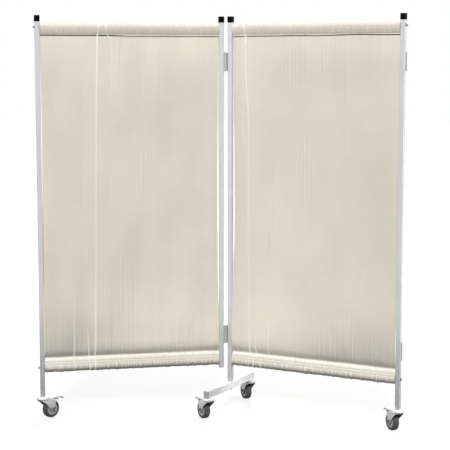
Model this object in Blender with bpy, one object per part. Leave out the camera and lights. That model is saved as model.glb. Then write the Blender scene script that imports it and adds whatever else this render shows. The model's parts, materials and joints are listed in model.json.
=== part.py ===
# Folding ward screen: two curtained sections hinged together, standing on four braked swivel castors.
# Metres, Z up. The hollow side of the open V faces -Y. The origin is on the floor, amid the outline.

import math

import bmesh
import bpy
from mathutils import Vector

# Fits
SEAT_GAP = 0.0003  # between pieces that touch, or that run on each other
CUT_OVERRUN = 0.001  # how far a cutter passes the face that it opens

# Posts and how the sections stand
POST_SIZE = 0.020
POST_WALL = 0.0015
POST_CORNER = 0.002
OUTER_POST_LENGTH = 1.579
SECTION_REACH = 0.780  # from the hinge axis to the middle of an outer post
FOLD_CLEARANCE = 0.060  # from the base bar up to the foot of the short post
SECTION_LEAN = math.radians(20.0)  # each section's turn out of the straight line

# Post caps
CAP_WALL = 0.001
CAP_TOP = 0.0027
CAP_HEIGHT = 0.025
CAP_BEVEL = 0.0012

# Rails and their fixings
RAIL_RADIUS = 0.010
RAIL_WALL = 0.0012
RAIL_END = 0.012  # thickness of the threaded ends that close the tube
TOP_RAIL_DROP = 0.044  # from the top of the posts down to the upper rail
LOW_RAIL_RISE = 0.033  # from the foot of the short post up to the lower rail
RAIL_BOLT_RADIUS = 0.003
RAIL_BOLT_GRIP = 0.014  # how far a bolt goes into its rail
OUTER_HEAD_RADIUS = 0.005
OUTER_HEAD_HEIGHT = 0.006
INNER_HEAD_RADIUS = 0.0045
INNER_HEAD_HEIGHT = 0.0014

# Hinges
AXIS_FORWARD = 0.007  # hinge axis ahead of the posts' front faces
AXIS_TO_POST = 0.00505  # from the hinge axis out to the side of an inner post
HINGE_HEIGHT = 0.075
TOP_HINGE_DROP = 0.1845  # from the top of the posts down to the middle of the upper hinge
LOW_HINGE_RISE = 0.1475  # from the foot of the short post up to the middle of the lower hinge
BARREL_RADIUS = 0.008
BARREL_SLOT = 0.0006  # between the barrel of one leaf and the plate of the other
LEAF_THICKNESS = 0.0025
LEAF_DEPTH = 0.012  # behind the posts' front faces
TONGUE_STEP = 0.0005  # the plate's tongues stop this far inside their knuckles
HINGE_PIN_RADIUS = 0.0035
PIN_HEAD_RADIUS = 0.0055
PIN_HEAD_HEIGHT = 0.002

# Plates for a further section, welded to the right outer post
EXTENSION_DEPTH = 0.009
EXTENSION_THICKNESS = 0.003
EXTENSION_PROUD = 0.0005  # past the post's back face
EXTENSION_HOLE_RADIUS = 0.0019
EXTENSION_HOLE_SHARE = 0.30  # height of the holes off the plate's middle, as a share of the plate

# Base bar
BASE_WIDTH = 0.025
BASE_HEIGHT = 0.030
BASE_WALL = 0.0015
BASE_CORNER = 0.002
BASE_FRONT = 0.217  # from the middle of the post to the front end
BASE_BACK = 0.203
BASE_PLUG_FLANGE = 0.002
BASE_PLUG_LENGTH = 0.011
BASE_CASTOR_INSET = 0.021  # from an end of the bar in to its castor's stem
BASE_BOLT_RADIUS = 0.004
BASE_BOLT_HEAD_RADIUS = 0.0065
BASE_BOLT_HEAD_HEIGHT = 0.0055
POST_INSERT_LENGTH = 0.030
FOOT_PLUG_LENGTH = 0.020

# Castors
WHEEL_RADIUS = 0.0375
WHEEL_WIDTH = 0.025
CASTOR_OFFSET = 0.043  # from the swivel axis back to the axle
WHEEL_ROOM = 0.0055  # from the wheel up to the fork's web
WEB_THICKNESS = 0.0035
RACE_HEIGHT = 0.0077
CUP_TOP = 0.0047
CUP_RADIUS = 0.0255
CUP_WALL = 0.002
CUP_SKIRT = 0.0055  # how far the cup's rim hangs below its ceiling
CUP_BEVEL = 0.0034
STEM_LENGTH = 0.0285
STEM_BEVEL = 0.0015
KING_PIN_RADIUS = 0.005
RIVET_RADIUS = 0.008
RIVET_HEIGHT = 0.003
RACE_WAIST = 0.0195  # radius of the fork's crown where it meets the web
HUB_RADIUS = 0.026
HUB_RING_RADIUS = 0.0185
HUB_RING_SET = 0.0010  # the hub's ring lies this far inside the tyre's side
HUB_RECESS = 0.0045
HUB_BOSS_RADIUS = 0.0095
AXLE_RADIUS = 0.004
AXLE_HEAD_RADIUS = 0.0065
AXLE_HEAD_HEIGHT = 0.0038
LEG_SIDE_ROOM = 0.0018  # between a leg and the wheel's side
LEG_THICKNESS = 0.0027
LEG_SPREAD = 0.004  # how far the legs bulge outwards above the wheel
LEG_BOSS_RADIUS = 0.009
WEB_NOSE = 0.0165  # the web's front edge ahead of the swivel axis
WEB_TAIL = 0.026
WEB_HALF_WIDTH = 0.0185
WEB_SIDE_STEP = 0.0005  # the web's top face stands this far above the legs
WEB_CHAMFER = 0.006
PEDAL_PIVOT_OUT = 0.031
PEDAL_PIVOT_UP = 0.079
PEDAL_PIN_RADIUS = 0.0025
PEDAL_LENGTH = 0.081  # from its pivot to its tip
PEDAL_RISE = 0.0085  # from its pivot up to the tread plate
PEDAL_TIP_SHARE = 0.3  # half width at the tip, as a share of the pedal's
PEDAL_SHOULDER_SHARE = 0.6  # where the pedal starts to narrow, as a share of its length

# Compass headings of the castors in the whole screen's plan, from +X towards +Y
LEFT_HEADING = math.radians(57.0)
RIGHT_HEADING = math.radians(119.5)
FRONT_HEADING = math.radians(127.0)
REAR_HEADING = math.radians(119.9)

# Curtains
CLOTH = 0.0016
POCKET_THICKNESS = 0.0045  # gathered cloth round the rails
HEADER_THICKNESS = 0.0040
TOP_HEADER_DROP = 0.036  # from the upper rail down to the header's free edge
LOW_HEADER_RISE = 0.043  # from the lower rail up to the header's free edge
HEADER_NECK = 0.006  # where the pocket narrows to the header
SHEET_BEHIND = 0.0032  # the sheet hangs this far behind the middle of the rails
CURTAIN_END_GAP = 0.0030
CURTAIN_WAIST = 0.0050  # the sides draw in this far at mid height
FOLD_DEPTH = 0.006
POCKET_SWELL = 0.0012  # the pocket is this much fuller over a fold

# Numbers of sides
POCKET_SIDES = 10
SHEET_LEVELS = 5
RAIL_SIDES = 12
SMALL_SIDES = 10
BARREL_SIDES = 16
CUP_SIDES = 18
HUB_SIDES = 16
TYRE_SIDES = 24
CORNER_STEPS = 2

# Half of the tyre's section: share of the way out from the hub, share of the half width
TYRE_SHARES = ((0.0, 0.92), (0.45, 1.0), (0.86, 0.82), (1.0, 0.44))

# A fork leg from its foot up: share of its height, shares of the castor offset that its front and back edges
# lie at, share of the spread
LEG_SHARES = (
    (0.0, 0.93, 1.07, 0.0), (0.04, 0.866, 1.134, 0.0), (0.10, 0.81, 1.19, 0.0), (0.17, 0.78, 1.21, 0.0),
    (0.30, 0.57, 1.228, 0.0), (0.464, 0.35, 1.24, 0.6), (0.61, 0.17, 1.25, 0.85), (0.755, -0.07, 1.256, 0.9),
    (0.864, -0.27, 1.256, 0.8), (0.927, -0.39, 0.95, 0.6), (1.0, -0.40, 0.605, 0.5),
)

# Side view of a pedal about its pivot: share of its length, share of its rise
PEDAL_SHARES = (
    (-0.043, 0.94), (0.148, 1.06), (0.395, 1.0), (0.63, 0.765), (0.79, 0.12), (1.0, -1.06),
    (0.988, -1.35), (0.765, -0.41), (0.605, 0.29), (0.543, -0.18), (0.506, -1.0), (0.432, -0.47),
    (0.407, 0.35), (0.148, 0.53), (0.055, 0.35), (0.043, -0.35), (-0.043, -0.35),
)

# Folds of a curtain from its hinge side outwards: share of the width, share of the fold depth
LEFT_FOLD_SHARES = (
    (0.0, 0.1), (0.08, -0.15), (0.17, 0.3), (0.27, -0.2), (0.36, 0.35), (0.45, -0.15), (0.54, 0.3),
    (0.62, -0.25), (0.68, 0.1), (0.70, 1.0), (0.72, 0.1), (0.78, -0.35), (0.85, 0.4), (0.93, -0.2),
    (1.0, 0.0),
)
RIGHT_FOLD_SHARES = (
    (0.0, 0.0), (0.045, -0.2), (0.07, 0.1), (0.09, 1.0), (0.11, 0.1), (0.18, -0.3), (0.27, 0.3),
    (0.36, -0.2), (0.46, 0.3), (0.55, -0.25), (0.63, -0.1), (0.70, 0.5), (0.79, -0.3), (0.90, 0.3),
    (1.0, 0.1),
)

# Places worked out from the sizes above
leg_inner = WHEEL_WIDTH / 2 + LEG_SIDE_ROOM
leg_outer = leg_inner + LEG_THICKNESS
web_bottom = 2 * WHEEL_RADIUS + WHEEL_ROOM
web_top = web_bottom + WEB_THICKNESS
race_top = web_top + RACE_HEIGHT
cup_ceiling = race_top + SEAT_GAP
cup_top = cup_ceiling + CUP_TOP
castor_height = cup_top + SEAT_GAP
base_top = castor_height + BASE_HEIGHT
short_foot = base_top + FOLD_CLEARANCE
post_top = castor_height + OUTER_POST_LENGTH
top_rail_height = post_top - TOP_RAIL_DROP
low_rail_height = short_foot + LOW_RAIL_RISE
hinge_heights = {"upper": post_top - TOP_HINGE_DROP, "lower": short_foot + LOW_HINGE_RISE}
post_depth = AXIS_FORWARD + POST_SIZE / 2
inner_post_out = AXIS_TO_POST + POST_SIZE / 2
rail_start = inner_post_out + POST_SIZE / 2 + SEAT_GAP
rail_end = SECTION_REACH - POST_SIZE / 2 - SEAT_GAP
extension_depth = AXIS_FORWARD + POST_SIZE + EXTENSION_PROUD - EXTENSION_DEPTH / 2
stem_radius = POST_SIZE / 2 - POST_WALL - SEAT_GAP
base_castor_depths = {
    "front": post_depth - BASE_FRONT + BASE_CASTOR_INSET,
    "rear": post_depth + BASE_BACK - BASE_CASTOR_INSET,
}


def across_flats(radius, sides):
    """Corner radius of a polygon whose flats lie at the given radius."""
    return radius / math.cos(math.pi / sides)


def laid(axis, first, second, along):
    """A point of a plan (first, second) set at a distance along the named axis."""
    if axis == "X":
        return Vector((along, first, second))
    if axis == "Y":
        return Vector((first, along, second))
    return Vector((first, second, along))


def skin(bm, loops, hollow=False):
    """Join loops of equal length in turn. A hollow one closes on its first loop, any other gets two ends."""
    rows = [[bm.verts.new(point) for point in loop] for loop in loops]
    pairs = list(zip(rows, rows[1:]))
    if hollow:
        pairs.append((rows[-1], rows[0]))
    for lower, upper in pairs:
        for here in range(len(lower)):
            ahead = (here + 1) % len(lower)
            bm.faces.new((lower[here], lower[ahead], upper[ahead], upper[here]))
    if not hollow:
        bm.faces.new(rows[0])
        bm.faces.new(rows[-1])


def circle(radius, sides, middle=(0.0, 0.0)):
    points = []
    for step in range(sides):
        angle = math.tau * (step + 0.5) / sides
        points.append((middle[0] + radius * math.cos(angle), middle[1] + radius * math.sin(angle)))
    return points


def rounded_box(width, depth, corner):
    points = []
    for quarter, (right, back) in enumerate(((1, 1), (-1, 1), (-1, -1), (1, -1))):
        for step in range(CORNER_STEPS + 1):
            angle = math.radians(90.0) * (quarter + step / CORNER_STEPS)
            across = right * (width / 2 - corner) + corner * math.cos(angle)
            points.append((across, back * (depth / 2 - corner) + corner * math.sin(angle)))
    return points


def turned(bm, profile, sides, axis="Z", middle=(0.0, 0.0), hollow=False):
    """A turned shape from (radius, distance along the axis) pairs."""
    loops = []
    for radius, along in profile:
        loops.append([laid(axis, a, b, along) for a, b in circle(radius, sides, middle)])
    skin(bm, loops, hollow)


def prism(bm, outline, low, high, axis="Z"):
    skin(bm, [[laid(axis, a, b, along) for a, b in outline] for along in (low, high)])


def square_tube(bm, width, depth, wall, corner, low, high, axis="Z"):
    outer = rounded_box(width, depth, corner)
    inner = rounded_box(width - 2 * wall, depth - 2 * wall, corner - wall)
    loops = []
    for outline, along in ((outer, low), (outer, high), (inner, high), (inner, low)):
        loops.append([laid(axis, a, b, along) for a, b in outline])
    skin(bm, loops, hollow=True)


def to_mesh(bm, name, side=1):
    """Close a bmesh into a mesh with its faces outwards. A side of -1 mirrors it for the left section."""
    bmesh.ops.scale(bm, vec=(side, 1.0, 1.0), verts=bm.verts)
    bmesh.ops.recalc_face_normals(bm, faces=bm.faces)
    mesh = bpy.data.meshes.new(name)
    bm.to_mesh(mesh)
    bm.free()
    return mesh


def combined(mesh, bm, operation, side=1):
    """The mesh with the bmesh's solids cut out of it or joined on."""
    body = bpy.data.objects.new("body", mesh)
    tool = bpy.data.objects.new("tool", to_mesh(bm, "tool", side))
    for piece in (body, tool):
        bpy.context.scene.collection.objects.link(piece)
    boolean = body.modifiers.new("combine", "BOOLEAN")
    boolean.operation = operation
    boolean.solver = "EXACT"
    boolean.object = tool
    graph = bpy.context.evaluated_depsgraph_get()
    result = bpy.data.meshes.new_from_object(body.evaluated_get(graph))
    result.name = mesh.name
    for piece in (body, tool):
        bpy.data.objects.remove(piece)
    return result


def finish(name, colour, roughness, metallic=0.0):
    material = bpy.data.materials.new(name)
    material.use_nodes = True
    shader = material.node_tree.nodes["Principled BSDF"]
    shader.inputs["Base Color"].default_value = (*colour, 1.0)
    shader.inputs["Roughness"].default_value = roughness
    shader.inputs["Metallic"].default_value = metallic
    return material


def place(name, mesh, look, parent, location=(0.0, 0.0, 0.0)):
    """Put a mesh in the scene as a named piece with a material of its own."""
    own = mesh.copy() if mesh.users else mesh
    own.name = name
    own.materials.clear()
    own.materials.append(finish(name, *look))
    own.shade_smooth()
    own.set_sharp_from_angle(angle=math.radians(35.0))
    piece = bpy.data.objects.new(name, own)
    bpy.context.scene.collection.objects.link(piece)
    piece.parent = parent
    piece.location = location
    return piece


def empty(name, parent=None, location=(0.0, 0.0, 0.0), heading=0.0):
    holder = bpy.data.objects.new(name, None)
    bpy.context.scene.collection.objects.link(holder)
    holder.empty_display_size = POST_SIZE
    holder.parent = parent
    holder.location = location
    holder.rotation_euler = (0.0, 0.0, heading)
    return holder


WHITE_PAINT = ((0.76, 0.77, 0.79), 0.35)
BLACK_PLASTIC = ((0.012, 0.012, 0.013), 0.45)
ZINC = ((0.62, 0.62, 0.61), 0.35, 0.9)
DARK_STEEL = ((0.16, 0.16, 0.17), 0.4, 0.8)
CREAM_CLOTH = ((0.72, 0.68, 0.60), 0.85)
TYRE_RUBBER = ((0.08, 0.08, 0.085), 0.75)
HUB_PLASTIC = ((0.33, 0.33, 0.34), 0.5)
CASTOR_STEEL = ((0.66, 0.66, 0.67), 0.35, 0.4)
BAR_PAINT = ((0.68, 0.68, 0.69), 0.35)
PLUG_PLASTIC = ((0.50, 0.50, 0.51), 0.5)


def make_post(name, parent, side, out, foot):
    """A square post, drilled across for the bolts of its two rails."""
    bm = bmesh.new()
    square_tube(bm, POST_SIZE, POST_SIZE, POST_WALL, POST_CORNER, 0.0, post_top - foot)
    holes = bmesh.new()
    reach = POST_SIZE / 2 + CUT_OVERRUN
    bolt = across_flats(RAIL_BOLT_RADIUS + SEAT_GAP, SMALL_SIDES)
    for height in (top_rail_height, low_rail_height):
        turned(holes, ((bolt, -reach), (bolt, reach)), SMALL_SIDES, "X", (0.0, height - foot))
    mesh = combined(to_mesh(bm, name, side), holes, "DIFFERENCE", side)
    place(name, mesh, WHITE_PAINT, parent, (side * out, post_depth, foot))


def make_cap(name, parent, side, out):
    inner = rounded_box(POST_SIZE + 2 * SEAT_GAP, POST_SIZE + 2 * SEAT_GAP, POST_CORNER)
    width = POST_SIZE + 2 * SEAT_GAP + 2 * CAP_WALL
    outer = rounded_box(width, width, POST_CORNER + CAP_WALL)
    crown = rounded_box(width - 2 * CAP_BEVEL, width - 2 * CAP_BEVEL, POST_CORNER)
    inner_top = CAP_HEIGHT - CAP_TOP
    levels = (
        (inner, inner_top), (inner, 0.0), (outer, 0.0), (outer, CAP_HEIGHT - CAP_BEVEL), (crown, CAP_HEIGHT),
    )
    bm = bmesh.new()
    skin(bm, [[laid("Z", a, b, height) for a, b in outline] for outline, height in levels])
    bottom = post_top + SEAT_GAP - inner_top
    place(name, to_mesh(bm, name, side), BLACK_PLASTIC, parent, (side * out, post_depth, bottom))


def make_rail(name, parent, side, height):
    """A round tube closed by a threaded end at each post."""
    inner = across_flats(RAIL_RADIUS - RAIL_WALL, RAIL_SIDES)
    bore = across_flats(RAIL_BOLT_RADIUS + SEAT_GAP, RAIL_SIDES)
    profile = (
        (RAIL_RADIUS, rail_start), (RAIL_RADIUS, rail_end), (bore, rail_end), (bore, rail_end - RAIL_END),
        (inner, rail_end - RAIL_END), (inner, rail_start + RAIL_END), (bore, rail_start + RAIL_END),
        (bore, rail_start),
    )
    bm = bmesh.new()
    turned(bm, profile, RAIL_SIDES, "X", hollow=True)
    place(name, to_mesh(bm, name, side), WHITE_PAINT, parent, (0.0, post_depth, height))


def make_rail_bolt(name, parent, side, height, face, inwards, head_size):
    """A bolt through a post into a rail. face is the post's side that it enters, inwards the way it goes."""
    head_radius, head_height = head_size
    head = face - inwards * SEAT_GAP
    tip = face + inwards * (POST_SIZE + SEAT_GAP + RAIL_BOLT_GRIP)
    dome_shares = ((0.45, 1.0), (0.85, 0.7), (1.0, 0.0))
    profile = [(head_radius * across, head - inwards * head_height * up) for across, up in dome_shares]
    profile += [(RAIL_BOLT_RADIUS, head), (RAIL_BOLT_RADIUS, tip)]
    bm = bmesh.new()
    turned(bm, profile, SMALL_SIDES, "X")
    place(name, to_mesh(bm, name, side), ZINC, parent, (0.0, post_depth, height))


def make_leaf(name, parent, side, middle):
    """A welded leaf of a butt hinge. The right leaf has two knuckles, the left leaf the one between them."""
    half = HINGE_HEIGHT / 2
    third = half / 3
    edge = BARREL_RADIUS + BARREL_SLOT
    back = AXIS_FORWARD + LEAF_DEPTH
    if side > 0:
        knuckles = ((-half, -third - SEAT_GAP), (third + SEAT_GAP, half))
    else:
        knuckles = ((-third, third),)
    outline = [(back, -half), (back, half), (edge, half)]
    for low, high in reversed(knuckles):
        outline += [(edge, high - TONGUE_STEP), (0.0, high - TONGUE_STEP)]
        outline += [(0.0, low + TONGUE_STEP), (edge, low + TONGUE_STEP)]
    outline.append((edge, -half))
    face = AXIS_TO_POST - SEAT_GAP
    bm = bmesh.new()
    prism(bm, outline, face - LEAF_THICKNESS, face, "X")
    barrels = bmesh.new()
    for low, high in knuckles:
        turned(barrels, ((BARREL_RADIUS, low), (BARREL_RADIUS, high)), BARREL_SIDES)
    holes = bmesh.new()
    bore = across_flats(HINGE_PIN_RADIUS + SEAT_GAP, BARREL_SIDES)
    turned(holes, ((bore, -half - CUT_OVERRUN), (bore, half + CUT_OVERRUN)), BARREL_SIDES)
    mesh = combined(to_mesh(bm, name, side), barrels, "UNION", side)
    mesh = combined(mesh, holes, "DIFFERENCE", side)
    place(name, mesh, ZINC, parent, (0.0, 0.0, middle))


def make_hinge_pin(name, parent, middle):
    half = HINGE_HEIGHT / 2 + SEAT_GAP
    dome = HINGE_PIN_RADIUS
    profile = (
        (dome, half + PIN_HEAD_HEIGHT), (PIN_HEAD_RADIUS, half + PIN_HEAD_HEIGHT / 2),
        (PIN_HEAD_RADIUS, half), (HINGE_PIN_RADIUS, half), (HINGE_PIN_RADIUS, -half),
        (PIN_HEAD_RADIUS, -half), (PIN_HEAD_RADIUS, -half - PIN_HEAD_HEIGHT / 2),
        (dome, -half - PIN_HEAD_HEIGHT),
    )
    bm = bmesh.new()
    turned(bm, profile, BARREL_SIDES)
    place(name, to_mesh(bm, name), ZINC, parent, (0.0, 0.0, middle))


def make_extension_plate(name, parent, middle):
    """A plate with two plain holes that a further section's hinge would be screwed to."""
    near = SECTION_REACH + POST_SIZE / 2 + SEAT_GAP
    far = near + EXTENSION_THICKNESS
    bm = bmesh.new()
    prism(bm, rounded_box(EXTENSION_DEPTH, HINGE_HEIGHT, EXTENSION_THICKNESS / 2), near, far, "X")
    holes = bmesh.new()
    hole = across_flats(EXTENSION_HOLE_RADIUS, SMALL_SIDES)
    ends = ((hole, near - CUT_OVERRUN), (hole, far + CUT_OVERRUN))
    for height in (-EXTENSION_HOLE_SHARE * HINGE_HEIGHT, EXTENSION_HOLE_SHARE * HINGE_HEIGHT):
        turned(holes, ends, SMALL_SIDES, "X", (0.0, height))
    mesh = combined(to_mesh(bm, name), holes, "DIFFERENCE")
    place(name, mesh, ZINC, parent, (0.0, extension_depth, middle))


def make_foot_plug(name, parent):
    """The plug that closes the foot of the short post."""
    bm = bmesh.new()
    prism(bm, rounded_box(2 * stem_radius, 2 * stem_radius, POST_CORNER), 0.0, FOOT_PLUG_LENGTH)
    place(name, to_mesh(bm, name), PLUG_PLASTIC, parent, (-inner_post_out, post_depth, short_foot))


def make_foot_insert(name, parent):
    """The threaded insert that holds the right inner post down on the base bar."""
    bore = across_flats(BASE_BOLT_RADIUS + SEAT_GAP, CUP_SIDES)
    high = POST_INSERT_LENGTH
    bm = bmesh.new()
    turned(bm, ((stem_radius, 0.0), (stem_radius, high), (bore, high), (bore, 0.0)), CUP_SIDES, hollow=True)
    place(name, to_mesh(bm, name), PLUG_PLASTIC, parent, (inner_post_out, post_depth, base_top + SEAT_GAP))


def make_base_bar(name, parent):
    middle = castor_height + BASE_HEIGHT / 2
    front = post_depth - BASE_FRONT + BASE_PLUG_FLANGE
    back = post_depth + BASE_BACK - BASE_PLUG_FLANGE
    bm = bmesh.new()
    square_tube(bm, BASE_WIDTH, BASE_HEIGHT, BASE_WALL, BASE_CORNER, front, back, "Y")
    holes = bmesh.new()
    low = -BASE_HEIGHT / 2 - CUT_OVERRUN
    bolt = across_flats(BASE_BOLT_RADIUS + SEAT_GAP, SMALL_SIDES)
    turned(holes, ((bolt, low), (bolt, -low)), SMALL_SIDES, "Z", (0.0, post_depth))
    stem = across_flats(stem_radius + SEAT_GAP, CUP_SIDES)
    for depth in base_castor_depths.values():
        high = BASE_WALL - BASE_HEIGHT / 2 + CUT_OVERRUN
        turned(holes, ((stem, low), (stem, high)), CUP_SIDES, "Z", (0.0, depth))
    mesh = combined(to_mesh(bm, name), holes, "DIFFERENCE")
    place(name, mesh, BAR_PAINT, parent, (inner_post_out, 0.0, middle))


def make_base_plug(name, parent, end, inwards):
    """The plug in one end of the base bar. inwards is the way from that end into the bar."""
    flange = rounded_box(BASE_WIDTH, BASE_HEIGHT, BASE_CORNER)
    face = rounded_box(BASE_WIDTH - BASE_WALL, BASE_HEIGHT - BASE_WALL, BASE_CORNER)
    fit = 2 * (BASE_WALL + SEAT_GAP)
    insert = rounded_box(BASE_WIDTH - fit, BASE_HEIGHT - fit, BASE_CORNER - BASE_WALL)
    seat = inwards * (BASE_PLUG_FLANGE - SEAT_GAP)
    levels = (
        (face, 0.0), (flange, inwards * BASE_PLUG_FLANGE / 2), (flange, seat), (insert, seat),
        (insert, inwards * BASE_PLUG_LENGTH),
    )
    bm = bmesh.new()
    skin(bm, [[laid("Y", a, b, along) for a, b in outline] for outline, along in levels])
    middle = castor_height + BASE_HEIGHT / 2
    place(name, to_mesh(bm, name), PLUG_PLASTIC, parent, (inner_post_out, end, middle))


def make_base_bolt(name, parent):
    head_top = castor_height - SEAT_GAP
    tip = base_top + POST_INSERT_LENGTH
    profile = (
        (BASE_BOLT_HEAD_RADIUS, head_top - BASE_BOLT_HEAD_HEIGHT), (BASE_BOLT_HEAD_RADIUS, head_top),
        (BASE_BOLT_RADIUS, head_top), (BASE_BOLT_RADIUS, tip),
    )
    bm = bmesh.new()
    turned(bm, profile, SMALL_SIDES)
    place(name, to_mesh(bm, name), ZINC, parent, (inner_post_out, post_depth, 0.0))


def pocket(points, faces, middle, swell):
    """Section of a hem pocket round a rail, in depth and height. Its corners are added to points."""
    inner = across_flats(RAIL_RADIUS + SEAT_GAP, POCKET_SIDES)
    outer = inner + POCKET_THICKNESS + swell
    first = len(points)
    for radius in (inner, outer):
        points.extend(circle(radius, POCKET_SIDES, (post_depth, middle)))
    for here in range(POCKET_SIDES):
        ahead = (here + 1) % POCKET_SIDES
        outside = first + POCKET_SIDES
        faces.append((first + here, first + ahead, outside + ahead, outside + here))
    return first + POCKET_SIDES


def curtain_section(fold):
    """One upright section through a curtain: its corners, and the faces between them."""
    points = []
    faces = []
    shift = -fold * FOLD_DEPTH
    swell = fold * POCKET_SWELL
    back = post_depth + SHEET_BEHIND + CLOTH / 2 + shift
    ledge = back - CLOTH
    front = back - HEADER_THICKNESS
    reach = RAIL_RADIUS + POCKET_THICKNESS + HEADER_NECK
    ends = []
    for rail, way, header in ((top_rail_height, -1, TOP_HEADER_DROP), (low_rail_height, 1, LOW_HEADER_RISE)):
        outside = pocket(points, faces, rail, swell)
        neck = rail + way * reach
        # The neck grows from the two outer corners nearest the sheet, the front one first
        below = (post_depth + SHEET_BEHIND, neck)
        outer = range(outside, outside + POCKET_SIDES)
        ranked = sorted(outer, key=lambda index: math.dist(points[index], below))
        corners = sorted(ranked[:2], key=lambda index: points[index][0])
        edge = rail + way * header
        start = len(points)
        points.extend(((front, neck), (back, neck), (front, edge), (ledge, edge), (back, edge)))
        faces.append((corners[0], corners[1], start + 1, start))
        faces.append((start, start + 1, start + 4, start + 3, start + 2))
        ends.append((start + 3, start + 4, edge))
    (upper_ledge, upper_back, high), (lower_ledge, lower_back, low) = ends
    last = (upper_ledge, upper_back)
    for level in range(1, SHEET_LEVELS + 1):
        if level == SHEET_LEVELS:
            corner = (lower_ledge, lower_back)
        else:
            height = high + (low - high) * level / SHEET_LEVELS
            corner = (len(points), len(points) + 1)
            points.extend(((ledge, height), (back, height)))
        faces.append((last[0], last[1], corner[1], corner[0]))
        last = corner
    return points, faces


def free_edges(faces):
    """Edges of a flat section that only one of its faces has."""
    seen = {}
    for face in faces:
        for here, ahead in zip(face, face[1:] + face[:1]):
            key = (min(here, ahead), max(here, ahead))
            seen[key] = seen.get(key, 0) + 1
    return [key for key, count in seen.items() if count == 1]


def make_curtain(name, parent, side, folds):
    """A curtain swept outwards along its section, with a hem pocket round each rail."""
    start = rail_start - SEAT_GAP + CURTAIN_END_GAP
    width = rail_end + SEAT_GAP - CURTAIN_END_GAP - start
    middle = start + width / 2
    tall = top_rail_height - low_rail_height
    bm = bmesh.new()
    rows = []
    for place_share, fold in folds:
        points, faces = curtain_section(fold)
        out = start + width * place_share
        row = []
        for depth, height in points:
            rise = min(max((height - low_rail_height) / tall, 0.0), 1.0)
            waist = CURTAIN_WAIST * math.sin(math.pi * rise)
            drawn = middle + (out - middle) * (1.0 - 2.0 * waist / width)
            row.append(bm.verts.new((drawn, depth, height)))
        rows.append(row)
    for row in (rows[0], rows[-1]):
        for face in faces:
            bm.faces.new([row[index] for index in face])
    for near, far in zip(rows, rows[1:]):
        for here, ahead in free_edges(faces):
            bm.faces.new((near[here], near[ahead], far[ahead], far[here]))
    place(name, to_mesh(bm, name, side), CREAM_CLOTH, parent)


def stem_mesh():
    """Castor stem, swivel cup and king pin in one turned piece."""
    cup_inner = across_flats(CUP_RADIUS - CUP_WALL, CUP_SIDES)
    rim = cup_ceiling - CUP_SKIRT
    head = web_bottom - SEAT_GAP
    tip = cup_top + STEM_LENGTH
    profile = (
        (stem_radius - STEM_BEVEL, tip), (stem_radius, tip - STEM_BEVEL),
        (stem_radius, cup_top), (CUP_RADIUS - CUP_BEVEL, cup_top),
        (CUP_RADIUS, cup_top - CUP_BEVEL), (CUP_RADIUS, rim), (cup_inner, rim), (cup_inner, cup_ceiling),
        (KING_PIN_RADIUS, cup_ceiling), (KING_PIN_RADIUS, head), (RIVET_RADIUS, head),
        (RIVET_RADIUS, head - RIVET_HEIGHT),
    )
    bm = bmesh.new()
    turned(bm, profile, CUP_SIDES)
    return to_mesh(bm, "stem")


def add_leg(bm, side):
    """One leg of the fork, from the foot of its axle boss up to the web."""
    foot = WHEEL_RADIUS - LEG_BOSS_RADIUS
    tall = web_top - WEB_SIDE_STEP - foot
    loops = []
    for up, front, back, spread in LEG_SHARES:
        near = side * (leg_inner + spread * LEG_SPREAD)
        far = side * (leg_outer + spread * LEG_SPREAD)
        corners = ((front, near), (back, near), (back, far), (front, far))
        loops.append([Vector((out * CASTOR_OFFSET, across, foot + up * tall)) for out, across in corners])
    skin(bm, loops)


def fork_mesh():
    """Crown, web and two legs joined, with holes for the king pin, the axle and the pedal's pin."""
    waist = web_top - WEB_THICKNESS / 2
    crown_radius = CUP_RADIUS - CUP_WALL - 2 * SEAT_GAP
    rim = cup_ceiling - CUP_SKIRT
    profile = ((RACE_WAIST, waist), (crown_radius, rim), (crown_radius, race_top))
    bm = bmesh.new()
    turned(bm, profile, CUP_SIDES)
    crown = to_mesh(bm, "fork")
    half = WEB_HALF_WIDTH
    outline = (
        (WEB_TAIL, -half), (WEB_TAIL, half), (WEB_CHAMFER - WEB_NOSE, half), (-WEB_NOSE, half - WEB_CHAMFER),
        (-WEB_NOSE, WEB_CHAMFER - half), (WEB_CHAMFER - WEB_NOSE, -half),
    )
    web = bmesh.new()
    prism(web, outline, web_bottom, web_top)
    legs = bmesh.new()
    for side in (-1, 1):
        add_leg(legs, side)
    holes = bmesh.new()
    king = across_flats(KING_PIN_RADIUS + SEAT_GAP, CUP_SIDES)
    turned(holes, ((king, web_bottom - CUT_OVERRUN), (king, race_top + CUT_OVERRUN)), CUP_SIDES)
    reach = leg_outer + LEG_SPREAD + CUT_OVERRUN
    axle = across_flats(AXLE_RADIUS + SEAT_GAP, SMALL_SIDES)
    turned(holes, ((axle, -reach), (axle, reach)), SMALL_SIDES, "Y", (CASTOR_OFFSET, WHEEL_RADIUS))
    pin = across_flats(PEDAL_PIN_RADIUS + SEAT_GAP, SMALL_SIDES)
    turned(holes, ((pin, -reach), (pin, reach)), SMALL_SIDES, "Y", (PEDAL_PIVOT_OUT, PEDAL_PIVOT_UP))
    mesh = combined(crown, web, "UNION")
    mesh = combined(mesh, legs, "UNION")
    return combined(mesh, holes, "DIFFERENCE")


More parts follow.
